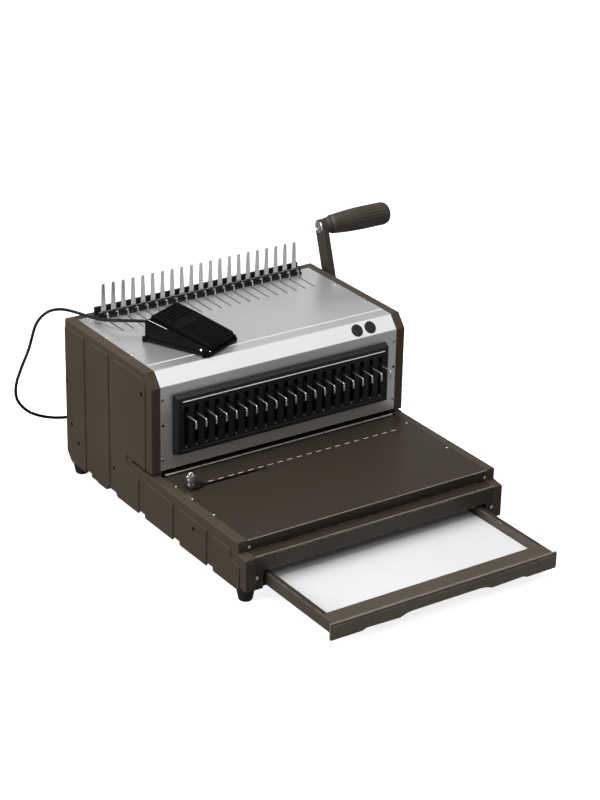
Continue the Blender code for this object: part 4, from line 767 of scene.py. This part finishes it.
beadY, beadZ = tabLow.y + tabCover["step"], tabCover["slotLow"] - 0.0026
halfTurn = Matrix.Rotation(math.pi, 3, "Z")
beads = []
for x in ringPlaces:
    slotBead = turnedSolid(beadProfile, (x + 0.0002, beadY + 0.0002, beadZ), 1, 10)
    bmesh.ops.rotate(slotBead, verts=slotBead.verts, cent=(x, beadY, beadZ), matrix=halfTurn)
    beads.append(slotBead)
piece("slot_beads", joined(*beads), "casing", chromePlate)
# painted highlight: a white line along the top of the cover's inner face
coverHighlightZ = tabHigh.z - tabCover["draft"] - tabCover["frame"] - 0.0006
coverHighlightReach = 0.1485
coverHighlight = block((-coverHighlightReach, tabLow.y - 0.0015, coverHighlightZ - 0.0003), (coverHighlightReach, tabLow.y + 0.0016, coverHighlightZ + 0.0004))
piece("cover_trim", softened(coverHighlight, 0.0002, 2), "casing", whiteHighlight)
print("selector cover moulded")

# light strip at the mouth of the throat, with the table's scale and side stop slot
dieLow = casingBox("die_plate")[0]
throatStrip = {
    "front": dieLow.y - 0.0001, "back": dieLow.y + 0.0024, "rise": 0.00045, "reach": 0.1690,
    "tickPlaces": (-0.118, -0.060, 0.0, 0.062, 0.121),
}
stripFront, stripBack = throatStrip["front"], throatStrip["back"]
dieTop = tableTop + 0.0014
strip = block((-throatStrip["reach"], stripFront, dieTop - 0.0004),
              (throatStrip["reach"], stripBack, dieTop + throatStrip["rise"]))
piece("throat_strip", softened(strip, 0.0002, 2), "casing", paleStrip)
ticks = [block((x - 0.0005, stripFront - 0.0002, dieTop - 0.0012), (x + 0.0003, stripBack, dieTop + 0.0006))
         for x in throatStrip["tickPlaces"]]
piece("throat_ticks", joined(*ticks), "casing", darkSeamAndShade)
dash = {"half": 0.0037, "front": -0.0427, "back": -0.0414, "thick": 0.00012}
dashes = [block((x - dash["half"], dash["front"], tableTop - 0.0001),
                (x + dash["half"], dash["back"], tableTop + dash["thick"])) for x in ringPlaces]
piece("scale_dashes", joined(*dashes), "casing", rulerInk)
seams = []
for side in (-1, 1):
    x = side * (coverInner - 0.00015)
    seams.append(block((x - 0.0003, apronY + 0.002, tableTop - 0.003),
                       (x + 0.0003, -0.0015, tableTop - 0.0002)))
piece("table_seams", joined(*seams), "casing", darkSeamAndShade)
# painted highlights: pale tubes along the front edges of the table and of the shelf
highlightLine = {"inset": 0.0003, "radius": 0.0005}
inset, radius = highlightLine["inset"], highlightLine["radius"]
sheetEdgeHighlights = []
for edgeY, edgeZ in ((apronY, tableTop), (frontY, shelfTop)):
    places = (-coverInner + radius, 0, coverInner - radius)
    sheetEdgeHighlights.append(tube([(x, edgeY + inset, edgeZ - inset) for x in places], radius, 8))
# painted shade: dark strips along the edges of the side stop's slot, and a dark patch that runs on past the
# slot's right-hand end
guideSlot = {
    "y": -0.047, "half": 0.002, "edge": 0.0008, "start": -0.1600, "end": -0.0660, "shownEnd": -0.0515,
}
slotShadeLow, slotShadeHigh = tableTop - 0.0012, tableTop + 0.00012
slotShade = []
for edge in (-guideSlot["half"] - guideSlot["edge"], guideSlot["half"]):
    slotShade.append(block((guideSlot["start"], guideSlot["y"] + edge, slotShadeLow),
                        (guideSlot["shownEnd"], guideSlot["y"] + edge + guideSlot["edge"], slotShadeHigh)))
slotShade.append(block((guideSlot["end"], guideSlot["y"] - guideSlot["half"], slotShadeLow),
                    (guideSlot["shownEnd"], guideSlot["y"] + guideSlot["half"], slotShadeHigh)))
piece("slot_border", joined(*slotShade), "casing", darkSeamAndShade)
# painted highlights along the table's and the shelf's front edges
piece("sheet_edges", joined(*sheetEdgeHighlights), "casing", edgeHighlight)
print("table marked")

# side stop: a wedge that points to the right, under a stepped chrome knob
guideLow, guideHigh = casingBox("edge_guide")
stopTop = tableTop + 0.0003
sideStop = [(guideLow.x, guideLow.y), (guideLow.x, guideHigh.y), (guideLow.x + 0.011, guideHigh.y),
            (guideHigh.x + 0.0015, guideLow.y + 0.011), (guideHigh.x + 0.0015, guideLow.y + 0.006),
            (guideLow.x + 0.013, guideLow.y)]
wedge = outlineSolid(sideStop, 2, stopTop, stopTop + 0.0036, 0.001, 3)
softened(wedge, 0.0006, 2, 50)
crest = outlineSolid([(guideLow.x + 0.0125, stopTop + 0.003), (guideHigh.x - 0.0004, stopTop + 0.003),
                      (guideHigh.x - 0.0004, stopTop + 0.0040), (guideLow.x + 0.0165, stopTop + 0.0066),
                      (guideLow.x + 0.0145, stopTop + 0.0066)], 1, guideLow.y + 0.0035, guideHigh.y - 0.0045)
softened(crest, 0.0005, 2, 30)
neck = block((-0.1581, -0.0486, tableTop - 0.0032), (-0.1529, -0.0454, stopTop + 0.002))
piece("stop_wedge", joined(wedge, crest, neck), "edge_guide", blackMoulding, ["edge_guide"])
knobLow, knobHigh = casingBox("guide_knob")
knobMiddle = ((knobLow.x + knobHigh.x) / 2, (knobLow.y + knobHigh.y) / 2)
knobProfile = [
    (0, 0), (0.0046, 0), (0.0046, 0.0022), (0.0036, 0.0028), (0.0036, 0.0062), (0.0050, 0.0072),
    (0.0050, 0.0092), (0.0046, 0.0096), (0.0046, 0.0102), (0.0062, 0.0110), (0.0067, 0.0117),
    (0.0067, 0.0140), (0.0061, 0.0150), (0.0046, 0.0152), (0.0038, 0.0147), (0.0036, 0.0125), (0, 0.0123),
]
knob = turnedSolid(knobProfile, (*knobMiddle, knobLow.z), 2, 48)
for v in knob.verts:
    height = v.co.z - knobLow.z
    if 0.0112 < height < 0.0145:
        out = Vector((v.co.x - knobMiddle[0], v.co.y - knobMiddle[1], 0))
        if out.length > 0.005:
            wave = math.cos(16 * math.atan2(out.y, out.x))
            v.co.x += out.x * 0.012 * wave
            v.co.y += out.y * 0.012 * wave
piece("stop_knob", knob, "guide_knob", chromePlate, ["guide_knob"], 40)
print("side stop made")

# drawer: padded face with a scooped lower edge, and a white sheet on its floor
faceLow, faceHigh = casingBox("drawer_front")
drawerFace = {
    "thick": 0.0026, "pad": 0.0012, "gap": 0.0011,
    "creases": (-0.121, -0.106, -0.064, -0.049, 0.003, 0.055, 0.070, 0.118, 0.133),
    "padLows": (0.0026, 0.0030, 0.0036, 0.0056, 0.0066, 0.0066, 0.0056, 0.0036, 0.0030, 0.0026),
    "padShifts": (0.0, 0.0012, 0.0006, 0.0014, 0.0010, 0.0010, 0.0014, 0.0006, 0.0012, 0.0),
}
outline = [
    (faceLow.x, faceLow.z), (faceLow.x, faceHigh.z), (faceHigh.x, faceHigh.z), (faceHigh.x, faceLow.z),
    (0.1180, faceLow.z), (0.1120, faceLow.z + 0.0022), (0.0660, faceLow.z + 0.0010),
    (0.0560, faceLow.z + 0.0042), (0.0485, faceLow.z + 0.0050), (-0.0485, faceLow.z + 0.0050),
    (-0.0560, faceLow.z + 0.0042),
    (-0.0660, faceLow.z + 0.0010), (-0.1120, faceLow.z + 0.0022), (-0.1180, faceLow.z),
]
backPlane, frontPlane = faceHigh.y, faceHigh.y - drawerFace["thick"]
drawerPanel = outlineSolid(outline, 1, backPlane, frontPlane, 0.0012, 3, [0, 1, 2, 3])
softened(drawerPanel, 0.0006, 2, 50, lambda edge: all(abs(v.co.y - frontPlane) < 1e-5 for v in edge.verts))
pads = []
starts = [faceLow.x + 0.0030] + [x + drawerFace["gap"] for x in drawerFace["creases"]]
ends = [x - drawerFace["gap"] for x in drawerFace["creases"]] + [faceHigh.x - 0.0030]
upper = faceHigh.z - 0.0034
for start, end, padLow, shift in zip(starts, ends, drawerFace["padLows"], drawerFace["padShifts"]):
    lower = faceLow.z + padLow
    pad = outlineSolid([(start, lower), (start, upper - shift), (end, upper - shift), (end, lower)],
                       1, frontPlane + 0.0006, frontPlane - drawerFace["pad"] + shift * 0.4, 0.0014, 3)
    softened(pad, 0.0009, 3, 60, lambda edge: all(v.co.y < frontPlane - 0.0003 for v in edge.verts))
    pads.append(pad)
drawerPanel = combined(drawerPanel, pads, "UNION")
piece("drawer_face", drawerPanel, "drawer", paintedLightDrawerFace, ["drawer_front"], 28)
# painted highlight: a pale tube along the top front edge of the drawer face
edgePlaces = (faceLow.x + 0.002, 0.0, faceHigh.x - 0.002)
faceHighlightLine = [(x, frontPlane - 0.0001, faceHigh.z - 0.0002) for x in edgePlaces]
piece("face_edge", tube(faceHighlightLine, 0.0005, 8), "drawer", edgeHighlight)
trayLow, trayHigh = casingBox("drawer_tray")
liner = {"rim": 0.0081, "band": 0.0232, "floor": 0.0075, "thick": 0.0005}
sheet = block((trayLow.x + liner["rim"], trayLow.y + liner["band"], liner["floor"]),
              (trayHigh.x - liner["rim"], trayHigh.y - liner["rim"], liner["floor"] + liner["thick"]))
piece("drawer_sheet", softened(sheet, 0.0002, 1), "drawer", drawerPaper)
sideBeads = []
for side in (-1, 1):
    x = side * (trayHigh.x - 0.0037)
    sideBeads.append(softened(block((x - 0.0030, trayLow.y + 0.0215, trayHigh.z - 0.0006),
                                    (x + 0.0030, trayHigh.y - 0.004, trayHigh.z + 0.0006)), 0.0005, 2))
piece("drawer_beads", joined(*sideBeads), "drawer", brownPaint)
print("drawer faced")

# foot pedal, drawn on its own axes and then turned on the top plate
pedal = {"x": -0.0889, "y": 0.0695, "turn": math.radians(25), "half": 0.031, "length": 0.047, "wall": 0.0035}
pedalTurn = Matrix.Rotation(pedal["turn"], 4, "Z")
pedalPlace = Matrix.Translation((pedal["x"], pedal["y"], headTop + 0.0003)) @ pedalTurn


def onPedal(mesh):
    bmesh.ops.transform(mesh, matrix=pedalPlace, verts=mesh.verts[:])
    return mesh


half, length, wall = pedal["half"], pedal["length"], pedal["wall"]
sideOutline = [(-length, 0.004), (length, 0.004), (length, 0.0240), (length - 0.004, 0.0290),
               (-0.040, 0.0105), (-length, 0.0065)]
pedalBody = outlineSolid(sideOutline, 0, -half, half)
softened(pedalBody, 0.0011, 3, 30)
troughLow, troughHigh = (-half + wall, -length - 0.01, 0.0035), (half - wall, length - wall, 0.06)
pedalBody = combined(pedalBody, [block(troughLow, troughHigh)], "DIFFERENCE")
skirtHalf, skirtFront, skirtBack = half + 0.0020, -length - 0.0010, length + 0.0016
skirt = outlineSolid([(-skirtHalf, skirtFront), (-skirtHalf, skirtBack), (skirtHalf, skirtBack),
                      (skirtHalf, skirtFront)], 2, 0.0004, 0.0046, 0.003, 4)
softened(skirt, 0.0009, 2, 50)
skirt = combined(skirt, [block(troughLow, troughHigh)], "DIFFERENCE")
bumpProfile = [(0, 0), (0.0028, 0), (0.0033, 0.0010), (0.0033, 0.0056), (0.0027, 0.0064), (0, 0.0064)]
bumps = []
for u in (-half - 0.0014, half + 0.0014):
    for v in (-length + 0.006, length - 0.001):
        bumps.append(turnedSolid(bumpProfile, (u, v, 0), 2, 20))
piece("pedal_housing", onPedal(joined(pedalBody, skirt, *bumps)), "pedal", pedalPlastic,
      ["pedal_base"], 30)

treadle = {"fit": 0.0007, "sweep": 0.0027, "rear": 0.0335, "front": 0.0135, "bend": 0.010, "skirt": 0.005}
treadHalf = half - wall - treadle["fit"]
treadRear, treadFront = length - wall - treadle["sweep"], 0.002 - length
rise = treadle["rear"] - treadle["front"]
bendZ = treadle["front"] + rise * (treadle["bend"] - treadFront) / (treadRear - treadFront) + 0.0012


def treadTop(v):
    if v < treadle["bend"]:
        lift = bendZ - treadle["front"]
        return treadle["front"] + lift * (v - treadFront) / (treadle["bend"] - treadFront)
    return bendZ + (treadle["rear"] - bendZ) * (v - treadle["bend"]) / (treadRear - treadle["bend"])


ribbed = [(treadFront, treadle["skirt"]), (treadFront, treadTop(treadFront) - 0.001),
          (treadFront + 0.001, treadTop(treadFront + 0.001))]
place = treadFront + 0.0035
ribRows = ((11, 0.0038, 0.0019, 0.0009), (1, 0.0145, 0.0, 0.0), (5, 0.0050, 0.0031, 0.0015))
for count, pitch, width, height in ribRows:
    for index in range(count):
        if width:
            ribbed += [(place, treadTop(place)), (place + 0.0003, treadTop(place) + height),
                       (place + width - 0.0003, treadTop(place + width) + height),
                       (place + width, treadTop(place + width))]
        place += pitch
ribbed += [(treadRear - 0.0015, treadTop(treadRear - 0.0015)), (treadRear, treadle["rear"] - 0.0015),
           (treadRear, treadle["rear"] - 0.010), (treadRear - 0.003, treadle["rear"] - 0.010),
           (treadRear - 0.003, treadle["rear"] - 0.005), (treadle["bend"], bendZ - 0.005),
           (treadFront + 0.022, treadle["skirt"])]
ribbed = [(v, z) for v, z in ribbed if v <= treadRear + 1e-6]
plain = [(treadFront, treadle["skirt"]), (treadFront, treadle["front"] - 0.0005),
         (treadFront + 0.0015, treadTop(treadFront + 0.0015) + 0.0003), (treadle["bend"], bendZ + 0.0006),
         (treadRear - 0.002, treadle["rear"] + 0.0006), (treadRear, treadle["rear"] - 0.0012),
         (treadRear, treadle["rear"] - 0.011), (treadle["bend"], bendZ - 0.0085),
         (treadFront + 0.022, treadle["skirt"])]
edgeStrips = []
for side in (-1, 1):
    start, end = sorted((side * treadHalf, side * (treadHalf - 0.0034)))
    edgeStrips.append(softened(outlineSolid(plain, 0, start, end), 0.0009, 3, 20))
ribBody = softened(outlineSolid(ribbed, 0, -treadHalf + 0.003, treadHalf - 0.003), 0.00025, 1, 35)
piece("pedal_plate", onPedal(joined(ribBody, *edgeStrips)), "treadle", pedalPlastic,
      ["pedal_treadle"], 30)
pinProfile = [(0, -0.001), (0.0019, -0.001), (0.0019, 0.0004), (0.0012, 0.0010), (0, 0.0010)]
pinY, pinZ = -0.036, 0.0077
pins = [turnedSolid([(r, side * h) for r, h in pinProfile], (side * half, pinY, pinZ), 0, 16)
        for side in (-1, 1)]
frontPin = turnedSolid([(0, 0), (0.0009, 0), (0.0009, -0.0010), (0.0005, -0.0014), (0, -0.0014)],
                       (-half + 0.002, -length, 0.0075), 1, 16)
piece("pedal_pins", onPedal(joined(*pins, frontPin)), "pedal", chromePlate)
# painted highlights: thin white lines along the upper side edges of the pedal
shineEnds = ((length - 0.0050, 0.02855), (0.0140, 0.02260))
shine = [tube([(side * (half - 0.0002), *end) for end in shineEnds], 0.00025, 8) for side in (-1, 1)]
piece("pedal_shine", onPedal(joined(*shine)), "pedal", whiteHighlight)
print("pedal built")

# lever: turning grip with long flutes, and the bright ring of its bolt
gripLow, gripHigh = casingBox("handle_grip")
gripAxis = ((gripLow.y + gripHigh.y) / 2, (gripLow.z + gripHigh.z) / 2)
grip = {"flutes": 22, "depth": 0.035, "start": 0.012, "end": 0.090}
bore = 0.0039
gripProfile = [(bore, 0), (0.0088, 0), (0.0098, 0.0008), (0.0105, 0.0018), (0.0105, 0.0052), (0.0098, 0.0060),
               (0.0098, 0.0070), (0.0118, 0.0082), (0.0126, 0.0098)]
for step in range(1, 13):
    along = 0.0098 + step * 0.0042
    gripProfile.append((0.0126 + 0.0029 * math.sin(step / 12 * math.pi / 2), along))
gripProfile += [(0.0155, 0.068), (0.0155, 0.076), (0.0155, 0.084), (0.0155, 0.0905), (0.0151, 0.0938),
                (0.0142, 0.0965), (0.0126, 0.0984), (0.0100, 0.0992), (0.0, 0.0992)]
gripProfile += [(0.0, 0.0508), (bore, 0.0508), (bore, 0)]
gripShape = turnedSolid(gripProfile, (gripLow.x, *gripAxis), 0, 88)
for v in gripShape.verts:
    along = v.co.x - gripLow.x
    out = Vector((0, v.co.y - gripAxis[0], v.co.z - gripAxis[1]))
    if grip["start"] <= along <= grip["end"] and out.length > 0.009:
        fade = min(1, (along - grip["start"]) / 0.006, (grip["end"] - along) / 0.006)
        wave = max(0.0, math.cos(grip["flutes"] * math.atan2(out.z, out.y)))
        v.co.y -= out.y * grip["depth"] * wave * fade
        v.co.z -= out.z * grip["depth"] * wave * fade
piece("turning_grip", gripShape, "grip", gripMoulding, ["handle_grip"], 40)
armLow, armHigh = casingBox("lever_arm")
ringProfile = [(0.0052, -0.0004), (0.0078, -0.0004), (0.0082, 0.0), (0.0082, 0.0006), (0.0076, 0.0010),
               (0.0060, 0.0010), (0.0052, 0.0005), (0.0052, -0.0004)]
ringShape = turnedSolid(ringProfile, (0, 0, 0), 0, 36)
bmesh.ops.rotate(ringShape, verts=ringShape.verts, cent=(0, 0, 0), matrix=Matrix.Rotation(math.pi, 3, "Z"))
bmesh.ops.translate(ringShape, vec=(armLow.x, *gripAxis), verts=ringShape.verts)
collar = turnedSolid([(0.0042, 0), (0.0088, 0), (0.0088, 0.0006), (0.0042, 0.0006), (0.0042, 0)],
                     (armHigh.x, *gripAxis), 0, 32)
hubProfile = [(0, 0.0), (0.0085, 0.0), (0.0085, 0.0012), (0.0070, 0.0022), (0.0, 0.0024)]
hub = turnedSolid(hubProfile, (armHigh.x - 0.0004, *leverPivot), 0, 32)
piece("lever_rings", joined(ringShape, collar, hub), "lever", chromePlate)
print("lever finished")

# tapered tines in their rail, with a black lip before their foot
tine = {"base": 0.0070, "tip": 0.0042, "point": 0.0007}
base, tip, top = tine["base"] / 2, tine["tip"] / 2, tineHigh.z
foot, shoulder = tineLow.z + 0.0040, top - tine["point"]
tineShapes = [block((tineLow.x, tineLow.y, tineLow.z), (tineHigh.x, tineHigh.y, tineLow.z + 0.0042))]
for x in ringPlaces:
    shape = outlineSolid([(x - base, foot), (x - tip, shoulder), (x - tip * 0.75, top),
                          (x + tip * 0.75, top), (x + tip, shoulder), (x + base, foot)],
                         1, tineLow.y, tineHigh.y)
    tineShapes.append(softened(shape, 0.0006, 3, 25))
piece("opener_tines", joined(*tineShapes), "casing", tineSteel, ["comb_tines"], 40)
railLow, railHigh = casingBox("comb_rail")
lip = block((railLow.x, railLow.y + 0.0028, railLow.z + 0.0002),
            (railHigh.x, railLow.y + 0.0044, railLow.z + 0.0078))
piece("rail_lip", softened(lip, 0.0004, 2), "casing", blackMoulding)
print("tines set")

# bright curls of the opener's hooks, one in front of each tine
hookTop = casingBox("hook_carriage")[1].z
curl = {"radius": 0.0009, "y": 0.1832, "reach": 0.0042, "top": 0.1996}
curls = []
y, top, reached = curl["y"], curl["top"], curl["y"] - curl["reach"]
for x in ringPlaces:
    line = smoothLine([(x, y + 0.0006, hookTop - 0.003), (x, y + 0.0006, top - 0.0016),
                       (x, y - 0.0006, top), (x, y - 0.0026, top + 0.0002),
                       (x, reached, top - 0.0016), (x, reached - 0.0005, top - 0.0052)], 3)
    curls.append(tube(line, curl["radius"], 8))
piece("hook_curls", joined(*curls), "hook_carriage", chromePlate, (), 60)
print("hooks curled")

# inlet blades, lugs under both sides, and the screws and louvres of the back
inletLow, inletHigh = casingBox("power_inlet")
inletMiddle = ((inletLow.x + inletHigh.x) / 2, (inletLow.z + inletHigh.z) / 2)
blades = []
for x, z in ((-0.006, -0.001), (0.006, -0.001), (0.0, 0.0032)):
    blade = block((inletMiddle[0] + x - 0.001, inletHigh.y - 0.014, inletMiddle[1] + z - 0.002),
                  (inletMiddle[0] + x + 0.001, inletHigh.y - 0.003, inletMiddle[1] + z + 0.002))
    blades.append(softened(blade, 0.0003, 1))
piece("inlet_blades", joined(*blades), "casing", brightSteel)
lugs = []
for side in (-1, 1):
    start, end = sorted((side * 0.1745, side * 0.1845))
    lugs.append(softened(block((start, 0.116, -0.008), (end, 0.140, 0.003)), 0.0015, 3))
piece("side_lugs", joined(*lugs), "casing", blackRubber)
rearScrews = [screwHead((x, rearY, z), 1, 1, 0.0027, 0.0009)
              for x in (-0.160, 0.0, 0.160) for z in (0.012, 0.180)]
piece("rear_screws", joined(*rearScrews), "casing", zincPlate)
louvre = {"rows": 7, "low": 0.095, "pitch": 0.010, "half": 0.060, "tall": 0.0030}
louvres = []
for row in range(louvre["rows"]):
    z = louvre["low"] + row * louvre["pitch"]
    slat = block((-louvre["half"], rearY - 0.0002, z), (louvre["half"], rearY + 0.0012, z + louvre["tall"]))
    louvres.append(softened(slat, 0.0008, 2))
piece("rear_louvres", joined(*louvres), "casing", brownPaint)
print("back fitted")

# floor and light
floorMaterial = bpy.data.materials.new("studioFloor")
floorMaterial.use_nodes = True
floorShader = floorMaterial.node_tree.nodes["Principled BSDF"]
floorShader.inputs["Base Color"].default_value = (0.93, 0.93, 0.93, 1)
floorShader.inputs["Roughness"].default_value = 0.8
floorShader.inputs["Emission Color"].default_value = (1, 1, 1, 1)
floorShader.inputs["Emission Strength"].default_value = 0.8
floorMesh = bmesh.new()
bmesh.ops.create_grid(floorMesh, x_segments=1, y_segments=1, size=12)
floorData = bpy.data.meshes.new("studio_floor")
floorMesh.to_mesh(floorData)
floorMesh.free()
floorData.materials.append(floorMaterial)
floor = bpy.data.objects.new("studio_floor", floorData)
bpy.context.scene.collection.objects.link(floor)
floor.visible_diffuse = False  # the paper sweep lights nothing from below
floor.visible_glossy = False


def softLight(name, place, aim, size, power):
    data = bpy.data.lights.new(name, "AREA")
    data.shape, data.size, data.size_y = "RECTANGLE", size[0], size[1]
    data.energy = power
    made = bpy.data.objects.new(name, data)
    direction = (Vector(aim) - Vector(place)).to_track_quat("-Z", "Y")
    made.matrix_world = Matrix.Translation(place) @ direction.to_matrix().to_4x4()
    bpy.context.scene.collection.objects.link(made)


softLight("overhead", (-0.4, 0.2, 2.4), (0, 0, 0), (2.2, 1.8), 48)
softLight("leftSide", (-2.6, 0.5, 1.2), (0, 0, 0.1), (1.6, 1.4), 42)
softLight("frontFill", (0.3, -2.0, 2.6), (0, 0, 0.1), (1.8, 1.0), 11)
softLight("rearCard", (1.2, 3.2, 1.3), (0, 0, 0.1), (2.6, 1.2), 4)
world = bpy.data.worlds.new("studio")
world.use_nodes = True
world.node_tree.nodes["Background"].inputs["Color"].default_value = (1, 1, 1, 1)
world.node_tree.nodes["Background"].inputs["Strength"].default_value = 0.24
bpy.context.scene.world = world
bpy.context.scene.view_settings.view_transform = "Standard"
print("lights set")
